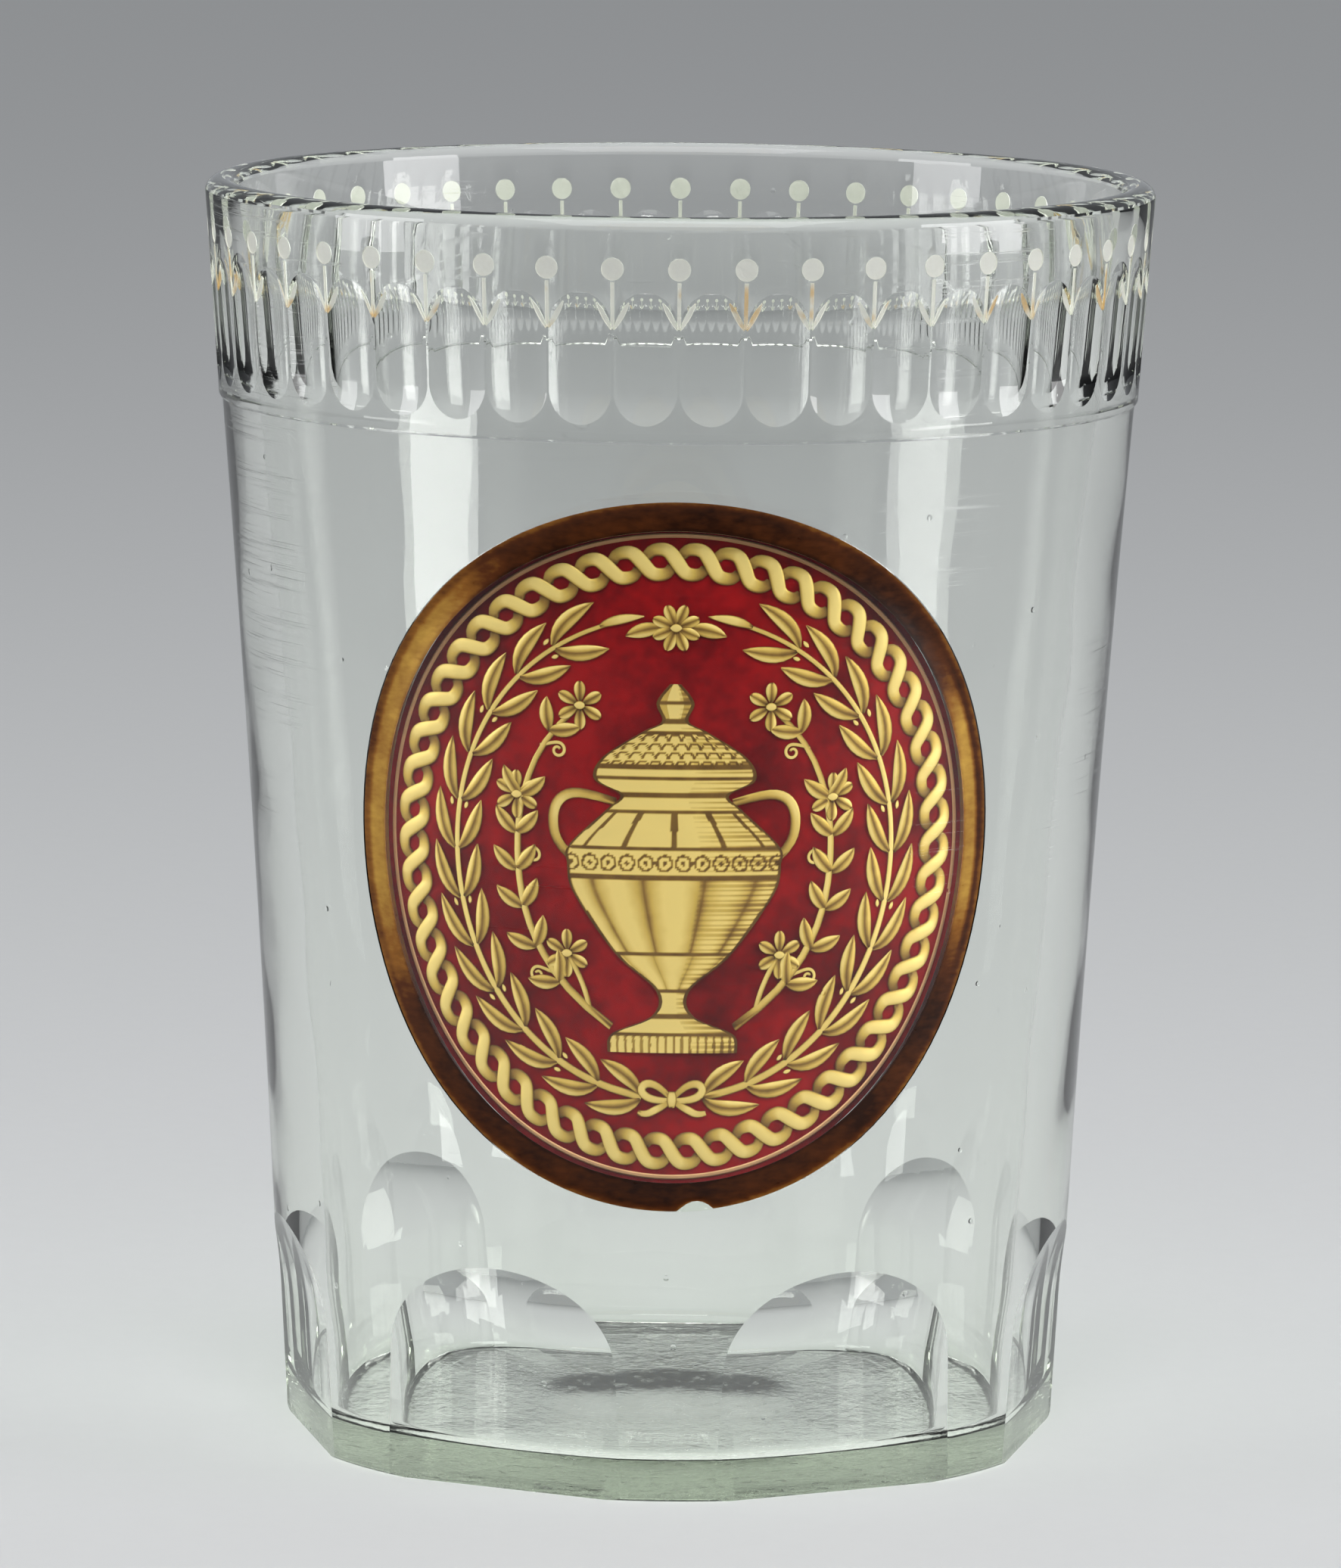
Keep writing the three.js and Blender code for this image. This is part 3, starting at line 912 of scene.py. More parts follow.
@dataclass
class Vessel:
    """The glass vessel: spun, then cut with flutes, arches, a recess and engraved flowers.

    The stem and the leaf of an engraved flower are X, the heights of the lower and the upper end, width, lean
    in degrees and the share of the width that is left at the ends.
    """

    beaker: Beaker = field(default_factory=Beaker)
    layers: Layers = field(default_factory=Layers)
    columns_per_flute: int = 10
    wall_rows: int = 10
    corner_steps: int = 8
    lip_steps: int = 16
    collar_steps: int = 4
    arch_steps: int = 24
    engraving_depth: float = 0.14
    head_height: float = 110.5
    head_radius: float = 1.0
    head_sides: int = 28
    shaft_rows: int = 12
    stem: tuple[float, ...] = (0, 105.3, 109.35, 0.34, 0, 1)
    leaf: tuple[float, ...] = (0.12, 105.2, 107.9, 0.46, 29, 0.25)

    def profile(self) -> list[Flat]:
        """The outline from the hollow in the underside, up the outside and down the inside to the floor.

        Returns:
            Pairs of radius and height.
        """
        b = self.beaker
        points = []
        for k in range(self.corner_steps + 1):
            share = k / self.corner_steps
            points.append((b.hollow_radius * share, b.hollow_depth * (1 - share**2) ** 2))
        for k in range(self.corner_steps + 1):
            turn = math.pi / 2 * k / self.corner_steps
            points.append(
                (b.foot_radius - b.foot_edge * (1 - math.sin(turn)), b.foot_edge * (1 - math.cos(turn)))
            )
        for k in range(1, self.wall_rows + 1):
            z = blend(b.foot_edge, b.collar_bottom, k / self.wall_rows)
            points.append((b.side_radius(z), z))
        collar_foot = b.collar_bottom + b.collar_bevel
        lip_base = b.height - b.lip_rise
        inset = b.side_radius(b.collar_bottom)
        for k in range(1, self.collar_steps + 1):
            turn = math.pi / 2 * k / self.collar_steps
            out = blend(inset, b.outer_radius(collar_foot), math.sin(turn))
            points.append((out, b.collar_bottom + b.collar_bevel * (1 - math.cos(turn))))
        for k in range(1, self.collar_steps):
            z = blend(collar_foot, lip_base, k / self.collar_steps)
            points.append((b.outer_radius(z), z))
        outer, inner = b.outer_radius(lip_base), b.inner_radius(lip_base)
        for k in range(self.lip_steps + 1):
            turn = math.pi * k / self.lip_steps
            radius = blend(outer, inner, (1 - math.cos(turn)) / 2)
            points.append((radius, lip_base + b.lip_rise * math.sin(turn)))
        fillet_top = b.floor_thickness + b.floor_fillet
        for k in range(1, self.wall_rows + 1):
            z = blend(lip_base, fillet_top, k / self.wall_rows)
            points.append((b.inner_radius(z), z))
        corner = b.inner_radius(fillet_top)
        for k in range(1, self.corner_steps + 1):
            turn = math.pi / 2 * k / self.corner_steps
            points.append(
                (corner - b.floor_fillet * (1 - math.cos(turn)), fillet_top - b.floor_fillet * math.sin(turn))
            )
        flat = corner - b.floor_fillet
        for k in range(1, self.collar_steps + 1):
            points.append((flat * (1 - k / self.collar_steps), b.floor_thickness))
        return points

    def flute_rod(self) -> Piece:
        """The grinding wheel's path for one flute: a round-ended rod that leans with the collar.

        Returns:
            The rod, in front of the first flute's place.
        """
        b = self.beaker
        bottom = b.collar_bottom + b.flute_rise
        top = bottom + b.flute_length
        middle = (bottom + top) / 2
        radius = b.outer_radius(middle)
        width = math.tau * radius / b.flute_count - b.flute_land
        hollow = 1 / (8 * b.flute_depth / width**2 - 1 / radius)
        reach = math.sqrt(hollow**2 - (hollow - b.flute_depth) ** 2)
        straight = b.flute_length - 2 * reach
        segments = 4 * round(math.tau * hollow * self.columns_per_flute / width / 4)
        only()
        bpy.ops.mesh.primitive_uv_sphere_add(segments=segments, ring_count=segments // 2 + 1, radius=hollow)
        rod = added("flute_rod")
        moved(rod, lambda place: place + Vector((0, 0, math.copysign(straight / 2, place.z))))
        rod.rotation_euler.x = math.atan2(b.outer_radius(top) - b.outer_radius(bottom), b.flute_length)
        rod.location = (0, -(radius + hollow - b.flute_depth), middle)
        return settle(rod)

    def arch_block(self) -> Piece:
        """The block that one facet round the foot is ground with: flat, then curving out of the wall.

        Returns:
            The block, in front of the foot.
        """
        b = self.beaker
        share = math.cos(b.arch_half_angle)
        foot = b.outer_radius(0) * share - b.arch_taper
        spring = b.outer_radius(b.arch_spring) * share
        slope = (spring - foot) / b.arch_spring
        peak = b.outer_radius(b.arch_peak)
        clear = peak + 5
        middle = (b.arch_spring + b.arch_peak) / 2
        bend = (spring + slope * (middle - b.arch_spring), middle)
        outline = [(foot - 2 * slope, -2), (clear, -2), (clear, b.arch_peak + (clear - peak) / 2)]
        for k in range(self.arch_steps + 1):
            t = k / self.arch_steps
            outline.append(
                tuple(
                    (1 - t) ** 2 * start + 2 * t * (1 - t) * control + t**2 * end
                    for start, control, end in zip((peak, b.arch_peak), bend, (spring, b.arch_spring))
                )
            )
        reach = 2 * clear * math.sin(b.arch_half_angle) + 4
        block = traced("arch_block", [Vector((-reach / 2, -radius, z)) for radius, z in outline])
        with editing(block):
            bpy.ops.mesh.edge_face_add()
            bpy.ops.mesh.extrude_region_move(TRANSFORM_OT_translate={"value": (reach, 0, 0)})
        return closed(block)

    def flower(self, body: Piece) -> Piece:
        """One engraved flower as a thin cutter that hugs the wall: a round head, a stem and two leaves.

        Args:
            body: The vessel, which it is laid on.

        Returns:
            The cutter, at the front.
        """
        b = self.beaker
        parts = []
        only()
        bpy.ops.mesh.primitive_circle_add(
            vertices=self.head_sides,
            radius=self.head_radius,
            fill_type="TRIFAN",
            location=(0, 0, self.head_height),
        )
        parts.append(settle(added("head")))
        x, low, high, width, lean, tip = self.leaf
        leaves = (self.leaf, (-x, low, high, width, -lean, tip))
        for x, low, high, width, lean, tip in (self.stem, *leaves):
            only()
            bpy.ops.mesh.primitive_grid_add(x_subdivisions=2, y_subdivisions=self.shaft_rows, size=1)
            shaft = added("shaft")

            def drawn_out(place: Vector) -> Vector:
                """A place on the shaft, drawn out to its length and narrowed to its ends."""
                narrow = blend(1, tip, abs(2 * place.y) ** 2)
                return Vector((place.x * width * narrow, (place.y + 0.5) * (high - low), 0))

            moved(shaft, drawn_out)
            shaft.rotation_euler.z = -math.radians(lean)
            shaft.location = (x, 0, low)
            parts.append(settle(shaft))
        flower = joined(parts, "flower")
        moved(flower, lambda place: Vector((place.x, -b.rim_radius - 6, place.z + place.y)))
        apply_modifier(
            flower,
            "SHRINKWRAP",
            target=body,
            wrap_method="PROJECT",
            use_project_y=True,
            use_negative_direction=False,
            use_positive_direction=True,
        )
        apply_modifier(flower, "SOLIDIFY", thickness=2 * self.engraving_depth, offset=0)
        return flower

    def build(self) -> Piece:
        """Makes the vessel.

        Returns:
            The vessel, in metres.
        """
        b, layers = self.beaker, self.layers
        body = turned("glass_vessel", self.profile(), b.flute_count * self.columns_per_flute)
        glass = Glass("clear_glass", scratches=0.5)
        body.data.materials.append(glass.material())
        for rod in ringed(self.flute_rod(), b.flute_count, 0.5):
            cut(body, rod)
        for block in ringed(self.arch_block(), b.arch_count, 0.5):
            cut(body, block)
        front, back = (b.semi_axes(layers.recess_side(depth)) for depth in (-1, layers.recess))
        recess = oval_plate("recess", front, 1, back, -layers.recess)
        cut(body, moved(recess, lambda place: b.on_wall(place) / MM))
        flower = self.flower(body)
        flower.data.materials.append(MattGlass().material())
        cut(body, joined(list(ringed(flower, b.flute_count)), "flowers"))
        body.scale = (MM, MM, MM)
        return dressed(without_slivers(settle(body)), ["glass_body"], glass, smooth=12)


def oval_sweep(name: str, rows: Sequence[tuple[float, float, float]], steps: int = 128) -> Piece:
    """Ovals of (half width, half height, Z) joined one to the next.

    Args:
        name: The piece's name.
        rows: The ovals. Where the last is the first again, the piece is a ring; else its ends are filled.
        steps: How many sides the oval has.

    Returns:
        The closed piece, drawn flat.
    """
    only()
    bpy.ops.mesh.primitive_circle_add(vertices=steps, radius=1, fill_type="NOTHING")
    piece = added(name)
    ring = rows[0] == rows[-1]
    with editing(piece, Pick.EDGES):
        bpy.ops.transform.resize(value=(rows[0][0], rows[0][1], 1), center_override=(0, 0, 0))
        bpy.ops.transform.translate(value=(0, 0, rows[0][2]))
        for (wide, high, z), (next_wide, next_high, next_z) in zip(rows, rows[1:]):
            bpy.ops.mesh.extrude_edges_move(TRANSFORM_OT_translate={"value": (0, 0, next_z - z)})
            bpy.ops.transform.resize(value=(next_wide / wide, next_high / high, 1), center_override=(0, 0, 0))
        if not ring:
            bpy.ops.mesh.select_all(action="SELECT")
            bpy.ops.mesh.fill_holes(sides=0)
    return closed(piece)


def oval_plate(name: str, front: Flat, front_z: float, back: Flat, back_z: float, rings: int = 16) -> Piece:
    """A flat oval plate with its half width and half height at the front and the back.

    Args:
        name: The plate's name.
        front: Half its width and height at the front.
        front_z: Z of the front.
        back: Half its width and height at the back.
        back_z: Z of the back.
        rings: How many rings of faces each side has.

    Returns:
        The closed plate.
    """
    shares = [(k + 0.4) / (rings + 0.4) for k in range(rings + 1)]
    rows = [(front[0] * share, front[1] * share, front_z) for share in shares]
    rows += [(back[0] * share, back[1] * share, back_z) for share in reversed(shares)]
    return oval_sweep(name, rows)


def along_curve(points: Sequence[Flat], share: float) -> Flat:
    """A point part of the way along a smooth curve through points.

    Args:
        points: The points.
        share: How far along, from 0 to 1.

    Returns:
        The point.
    """
    reach = min(max(share, 0), 1) * (len(points) - 1)
    k = min(int(reach), len(points) - 2)
    t = reach - k
    before, start, end, after = (points[min(max(k + d, 0), len(points) - 1)] for d in (-1, 0, 1, 2))
    return tuple(
        0.5 * (2 * b + (c - a) * t + (2 * a - 5 * b + 4 * c - d) * t**2 + (3 * b - a - 3 * c + d) * t**3)
        for a, b, c, d in zip(before, start, end, after)
    )


def spiral(centre: Flat, start: Flat, turns: float, shrink: float, steps: int = 12) -> list[Flat]:
    """Points that wind in towards a centre.

    Args:
        centre: The middle of the volute.
        start: Its outer end.
        turns: How often it goes round, anticlockwise where positive.
        shrink: The last radius as a share of the first.
        steps: How many points each turn has.

    Returns:
        The points, from the outer end inwards.
    """
    x, y = start[0] - centre[0], start[1] - centre[1]
    radius, angle = math.hypot(x, y), math.atan2(y, x)
    count = max(2, round(abs(turns) * steps))
    points = []
    for k in range(count + 1):
        share = k / count
        reach = radius * blend(1, shrink, share)
        turn = angle + math.tau * turns * share
        points.append((centre[0] + reach * math.cos(turn), centre[1] + reach * math.sin(turn)))
    return points


ROUND = (0.08, 0.5, 0.97, 1.0, 0.97, 0.5, 0.08, 0.08)
SHADED = (0.06, 0.32, 0.6, 0.95, 1.0, 0.9, 0.1, 0.06)
FLAT = (0.06, 0.45, 0.85, 1.0, 0.95, 0.85, 0.35, 0.06)
VEINED = (0.08, 0.62, 0.72, 0.2, 1.0, 1.0, 0.12, 0.08)


def heading(points: Sequence[Flat], share: float) -> float:
    """The direction of a curve through points, part of the way along."""
    (x, y), (next_x, next_y) = (along_curve(points, share + step) for step in (-0.01, 0.01))
    return math.atan2(next_y - y, next_x - x)


def from_place(place: Flat, turn: float, along: float, across: float = 0.0) -> Flat:
    """The place some way along and to the left of a direction.

    Args:
        place: The start.
        turn: The direction, in radians.
        along: How far along it.
        across: How far to its left.

    Returns:
        The place.
    """
    x = place[0] + along * math.cos(turn) - across * math.sin(turn)
    y = place[1] + along * math.sin(turn) + across * math.cos(turn)
    return x, y


@dataclass(frozen=True)
class Stroke:
    """One stroke of the drawing in gold leaf.

    Args:
        points: The points that lead it, flat on the medallion.
        widths: Its width along the way, spread evenly over the points.
        lifts: How far it stands towards the plaque along the way.
        ends: How bright its two ends are; the middle is 1.
        tones: How bright each line of the nib draws, from its right edge over the top to its left.
        fade: How quickly it brightens from its ends.
    """

    points: Sequence[Flat]
    widths: Sequence[float]
    lifts: Sequence[float] = (0.0, 0.0)
    ends: tuple[float, float] = (0.7, 0.7)
    tones: Sequence[float] = ROUND
    fade: float = 2.2

    def spread(self, values: Sequence[float], share: float) -> float:
        """The value part of the way along a list.

        Args:
            values: The list.
            share: How far along, from 0 to 1.

        Returns:
            The value.
        """
        reach = share * (len(values) - 1)
        k = min(int(reach), len(values) - 2)
        return blend(values[k], values[k + 1], reach - k)

    def mirrored(self, side: Side) -> "Stroke":
        """The same stroke on one side of the medallion, drawn for the right."""
        return replace(self, points=[(x * side.value, y) for x, y in self.points])


@dataclass
class GoldDrawing:
    """Draws strokes of gold leaf: each is a curve swept with a low domed nib, with a tone for each line."""

    level: float
    dome: Sequence[Flat] = (
        (0.5, 0.0),
        (0.43, 0.03),
        (0.3, 0.055),
        (0.0, 0.065),
        (-0.3, 0.055),
        (-0.43, 0.03),
        (-0.5, 0.0),
        (0.0, -0.01),
    )

    def curve(self, name: str) -> bpy.types.Curve:
        """An empty curve, as a new object's data.

        Args:
            name: The object's name.

        Returns:
            The curve.
        """
        only()
        bpy.ops.curve.primitive_nurbs_path_add()
        piece = added(name)
        piece.data.splines.clear()
        return piece.data

    def nib(self) -> Piece:
        """The outline that strokes are swept with.

        Returns:
            The outline, as a closed curve.
        """
        spline = self.curve("nib").splines.new("POLY")
        spline.points.add(len(self.dome) - 1)
        for point, (x, y) in zip(spline.points, self.dome):
            point.co = (x, y, 0, 1)
        spline.use_cyclic_u = True
        return bpy.context.active_object

    def swept(self, stroke: Stroke, nib: Piece) -> Piece:
        """Sweeps one stroke.

        Args:
            stroke: The stroke.
            nib: The outline to sweep.

        Returns:
            Its mesh, toned.
        """
        curve = self.curve("stroke")
        spline = curve.splines.new("NURBS")
        count = len(stroke.points)
        spline.points.add(count - 1)
        for k, (point, (x, y)) in enumerate(zip(spline.points, stroke.points)):
            share = k / (count - 1)
            point.co = (x, y, self.level + stroke.spread(stroke.lifts, share), 1)
            point.radius = stroke.spread(stroke.widths, share)
        spline.use_endpoint_u = True
        spline.order_u = 4
        spline.resolution_u = 3
        curve.bevel_mode = "OBJECT"
        curve.bevel_object = nib
        curve.use_fill_caps = True
        curve.twist_mode = "Z_UP"
        piece = bpy.context.active_object
        only(piece)
        bpy.ops.object.convert(target="MESH")
        piece = bpy.context.active_object

        def tone(along: float, around: float) -> float:
            """How bright the stroke is.

            Args:
                along: How far along it, from 0 to 1.
                around: How far round the nib, from 0 to 1.

            Returns:
                The brightness from 0 to 1.
            """
            across = stroke.tones[round(around * len(self.dome)) % len(self.dome)]
            end = stroke.ends[0] if along < 0.5 else stroke.ends[1]
            near = min(1, stroke.fade * (0.5 - abs(along - 0.5)))
            return across * blend(end, 1, near)

        return toned(piece, tone)

    def drawn(self, name: str, strokes: Sequence[Stroke]) -> Piece:
        """Draws several strokes as one flat piece.

        Args:
            name: The piece's name.
            strokes: The strokes.

        Returns:
            The piece.
        """
        nib = self.nib()
        parts = [self.swept(stroke, nib) for stroke in strokes]
        bpy.data.objects.remove(nib)
        return joined(parts, name)


def toned(piece: Piece, tone: Callable[[float, float], float]) -> Piece:
    """Stores how bright each point of a piece is.

    Args:
        piece: A piece with a UV map.
        tone: The brightness from 0 to 1 at a place of the map.

    Returns:
        The piece, with the attribute that the gold's finish reads.
    """
    mesh = piece.data
    shading = mesh.attributes.new("shading", "FLOAT", "POINT")
    where = mesh.uv_layers.active.data
    for face in mesh.polygons:
        if len(face.vertices) == 4:
            for corner in face.loop_indices:
                shading.data[mesh.loops[corner].vertex_index].value = tone(*where[corner].uv)
    return piece


def plain_tone(piece: Piece, value: float) -> Piece:
    """Makes a piece equally bright all over.

    Args:
        piece: The piece.
        value: The brightness from 0 to 1.

    Returns:
        The same piece.
    """
    shading = piece.data.attributes.new("shading", "FLOAT", "POINT")
    for point in shading.data:
        point.value = value
    return piece


@dataclass
class Medallion:
    """The medallion: a plaque of glass cemented over gold leaf, lacquer and a backing leaf.

    The urn's outline, lines and handle are in shares of half its width and of its height, and a link of the
    chain in shares of the pitch and of half the chain's width. The sprays' places are in shares of half the
    field's width and height, and a leaf's length and a flower's radius in shares of half its width. A curl is
    its foot, its direction in radians and its turns. The other sizes are in millimetres.
    """

    beaker: Beaker = field(default_factory=Beaker)
    layers: Layers = field(default_factory=Layers)
    urn_profile: Sequence[Flat] = (
        (0.62, 0.0),
        (0.58, 0.05),
        (0.2, 0.1),
        (0.16, 0.17),
        (0.55, 0.27),
        (0.94, 0.43),
        (1.0, 0.51),
        (0.98, 0.56),
        (0.62, 0.66),
        (0.5, 0.7),
        (0.74, 0.74),
        (0.66, 0.8),
        (0.3, 0.87),
        (0.12, 0.9),
        (0.17, 0.95),
        (0.05, 1.0),
    )
    urn_handle: Sequence[Flat] = (
        (0.54, 0.68),
        (0.78, 0.7),
        (0.98, 0.708),
        (1.12, 0.67),
        (1.142, 0.613),
        (1.1, 0.563),
        (0.97, 0.53),
    )
    spray_stem: Sequence[Flat] = (
        (0.31, -0.78),
        (0.5, -0.66),
        (0.69, -0.45),
        (0.78, -0.19),
        (0.795, 0.08),
        (0.745, 0.35),
        (0.615, 0.57),
        (0.46, 0.69),
    )
    spray_stalk: Sequence[Flat] = ((0.42, -0.71), (0.43, -0.64), (0.47, -0.54), (0.535, -0.45))
    spray_flowers: Sequence[Flat] = ((0.535, -0.45), (0.785, 0.27), (0.46, 0.69))
    spray_leaves: Sequence[float] = (0.2, 0.3, 0.4, 0.49, 0.58, 0.67, 0.86)
    spray_curls: Sequence[tuple[Flat, float, float]] = (
        ((0.6, -0.545), 0.35, -1.2),
        ((0.79, -0.03), 2.4, 1.2),
        ((0.66, 0.5), 2.9, 1.2),
    )
    leaf_length: float = 0.16
    flower_radius: float = 0.115
    top_flower_drop: float = 1.2
    squeeze: float = 0.06
    urn_lines: Sequence[float] = (
        0.05, 0.1, 0.17, 0.27, 0.475, 0.555, 0.655, 0.7, 0.745, 0.775, 0.87, 0.9, 0.95
    )
    urn_columns: int = 110
    urn_rows: int = 210
    urn_lift: float = 0.12
    urn_thickness: float = 0.11
    link_half: Sequence[Flat] = (
        (0.0, 0.0), (0.13, -0.34), (0.27, -0.62), (0.55, -0.68), (0.8, -0.56), (0.86, -0.2)
    )
    bow_tail: Sequence[Flat] = ((0.1, -0.1), (0.9, -0.7), (1.6, -0.9), (2.4, -1.5), (3.2, -1.2))
    bow_loop: Sequence[Flat] = (
        (0.1, 0.1), (1.0, 1.1), (2.3, 1.7), (3.1, 0.9), (2.4, 0.05), (1.1, -0.15), (0.1, -0.1)
    )
    line_breadth: float = 0.42
    line_rise: float = 0.1
    line_shift: float = 0.06
    cement_rows: int = 8
    cement_steps: int = 384
    cement_dish: float = 0.1
    chip_place: float = 2.3
    chip_width: float = 1.7
    chip_depth: float = 0.9
    chip_reach: float = 1.2

    def ground(self) -> Flat:
        """Half the width and height of the field inside the laurels."""
        return self.beaker.semi_axes(self.layers.laurel_inner)

    def flower(self, centre: Flat, petals: int = 6) -> list[Stroke]:
        """An open flower: petals round a raised heart.

        Args:
            centre: Its middle.
            petals: How many petals it has.

        Returns:
            The petals' strokes and the heart's.
        """
        radius = self.flower_radius * self.ground()[0]
        strokes = []
        for k in range(petals):
            turn = math.tau * (k + 0.5) / petals
            lead = [from_place(centre, turn, reach * radius) for reach in (0.18, 0.5, 0.85, 1.02)]
            strokes.append(Stroke(lead, (0.35, 1.15, 1.45, 0.3), (0.0, 0.04), (0.25, 1.0), VEINED))
        heart = [from_place(centre, 0, reach) for reach in (-0.5, -0.2, 0.2, 0.5)]
        strokes.append(Stroke(heart, (0.15, 1.0, 1.0, 0.15), (0.12, 0.12), (1.0, 1.0)))
        return strokes

    def sprig_leaf(self, place: Flat, turn: float, length: float, bow: float) -> Stroke:
        """One pointed leaf with its vein.

        Args:
            place: Its foot.
            turn: Its direction, in radians.
            length: Its length.
            bow: How far it bends to the left, as a share of the length.

        Returns:
            The stroke.
        """
        lead = [(-0.03, 0.0), (0.3, bow), (0.7, bow), (1.0, 0.0)]
        points = [from_place(place, turn, along * length, across * length) for along, across in lead]
        return Stroke(points, (0.35, 1.8, 1.6, 0.08), (0.0, 0.05), (0.5, 0.95), VEINED)

    def pen(self) -> GoldDrawing:
        """The pen that draws on the leaf's level."""
        return GoldDrawing(-self.layers.leaf_back + 0.02)

    def laid(self, piece: Piece) -> Piece:
        """Lays a flat piece on the wall, in metres."""
        return closed(moved(piece, self.beaker.on_wall), 1e-7)

    def gilded(self, node: str, piece: Piece) -> Piece:
        """Lays a flat drawing on the wall as a node's gold leaf."""
        return dressed(self.laid(piece), [node], Gold(), smooth=50)

    def plaque(self) -> Piece:
        """The oval plaque of clear glass, flush with the wall.

        Returns:
            The piece.
        """
        layers = self.layers
        axes = self.beaker.semi_axes
        depth = layers.plaque_thickness
        piece = oval_plate(
            "plaque", axes(layers.plaque_edge(0)), 0, axes(layers.plaque_edge(depth)), -depth, rings=20
        )
        finish = Glass("plaque_glass", depth_strength=0.0, slot="plaque_glass")
        piece.data.materials.append(finish.material())
        piece.data.materials.append(replace(finish, name="plaque_back", bend=1.12).material())
        for face in piece.data.polygons:
            face.material_index = int(face.center.z < -1e-3)
        return dressed(self.laid(piece), ["medallion_glass"], finish)

    def cement(self) -> Piece:
        """The ring of cement in the bevelled joint, a little uneven on top.

        Returns:
            The piece.
        """
        layers = self.layers
        axes = self.beaker.semi_axes
        gap = self.squeeze
        top, low = layers.cement_sink, layers.backing_back
        outer, inner = layers.recess_side(top) - gap, layers.plaque_edge(top) + gap
        rows = []
        for k in range(self.cement_rows + 1):
            share = k / self.cement_rows
            dish = self.cement_dish * math.sin(math.pi * share)
            rows.append((*axes(blend(outer, inner, share)), -top - dish))
        rows.append((*axes(layers.plaque_edge(low) + gap), -low))
        rows.append((*axes(layers.recess_side(low) - gap), -low))
        rows.append(rows[0])
        ring = oval_sweep("cement", rows, self.cement_steps)
        wide, high = axes(0)
        shading = ring.data.attributes.new("shading", "FLOAT", "POINT")
        for vertex, edge in zip(ring.data.vertices, shading.data):
            inset = wide - wide * math.hypot(vertex.co.x / wide, vertex.co.y / high)
            edge.value = (inset - outer) / (inner - outer)
            reach = abs(vertex.co.x - self.chip_place) / self.chip_width
            if vertex.co.y < 0 and reach < 1 and inset < self.chip_reach:
                vertex.co.y += self.chip_depth * (1 - reach**2) * (1 - inset / self.chip_reach)
        return dressed(self.laid(ring), ["cement_ring"], Cement(), smooth=40)

    def sheet(self, name: str, node: str, front: float, back: float, finish: object) -> Piece:
        """A plain oval layer between two depths.

        Args:
            name: The piece's name.
            node: The node that it replaces.
            front: The depth of its front.
            back: The depth of its back.
            finish: Its finish.

        Returns:
            The piece.
        """
        axes = self.beaker.semi_axes(self.layers.plaque_edge(front) + 2 * self.squeeze)
        plate = plain_tone(oval_plate(name, axes, -front, axes, -back), 0.8)
        return dressed(self.laid(plate), [node], finish)

    def edge_line(self) -> Piece:
        """The line of redder gold at the edge, with a crown across it.

        Returns:
            The piece.
        """
        layers = self.layers
        front, back = self.line_rise - layers.leaf_back, -layers.leaf_back
        outer = layers.line_outer + self.line_shift
        inner = outer + self.line_breadth
        slope = 0.25 * self.line_breadth
        corners = [(outer, back), (outer + slope, front), (inner - slope, front), (inner, back)]
        corners.append(corners[0])
        rows = [(*self.beaker.semi_axes(inset), z) for inset, z in corners]
        line = plain_tone(oval_sweep("edge_line", rows, 256), 0.75)
        finish = Gold("red_gold", middle=(0.60, 0.33, 0.16), light=(0.82, 0.50, 0.27))
        return dressed(self.laid(line), ["gold_edge_line"], finish)

    def chain(self) -> Piece:
        """The twisted border: S-shaped links, each passing over its neighbours' ends and round two eyes.

        Returns:
            The piece.
        """
        layers, beaker = self.layers, self.beaker
        width, height = beaker.semi_axes(layers.chain_middle)
        count = round(math.pi * (width + height) / layers.chain_pitch)
        lead = [(-u, -v) for u, v in reversed(self.link_half[1:])] + list(self.link_half)
        pitch, reach = layers.chain_pitch, layers.chain_width / 2
        stroke = Stroke(
            [(u * pitch, v * reach) for u, v in lead],
            (0.85, 1.1, 1.2, 1.3, 1.35, 1.3, 1.2, 1.1, 0.85),
            (-0.06, -0.02, 0.05, 0.08, 0.05, -0.02, -0.06),
            (0.3, 0.12),
            FLAT,
            fade=4.0,
        )
        link = self.pen().drawn("link", [stroke])
        links = []
        for k in range(count):
            copy = twin(link)

            def place(flat: Vector, first: int = k) -> Vector:
                """Bends a straight link to its place round the oval."""
                turn = math.tau * (first - flat.x / pitch) / count
                return Vector((*beaker.oval_point(turn, layers.chain_middle - flat.y), flat.z))

            links.append(moved(copy, place))
        bpy.data.objects.remove(link)
        return self.gilded("gold_chain_border", joined(links, "chain"))

    def laurel(self, side: Side) -> Piece:
        """A laurel branch with its leaves in pairs, small berries, and its half of the bow that ties them.

        Args:
            side: The side it stands on.

        Returns:
            The piece.
        """
        layers, beaker = self.layers, self.beaker

        def at(along: float, across: float) -> Flat:
            """A place by the pairs of leaves along the branch and half its width across."""
            turn = blend(layers.laurel_start, layers.laurel_end, along / layers.laurel_leaves)
            return beaker.oval_point(turn, layers.laurel_middle - across * layers.laurel_width / 2)

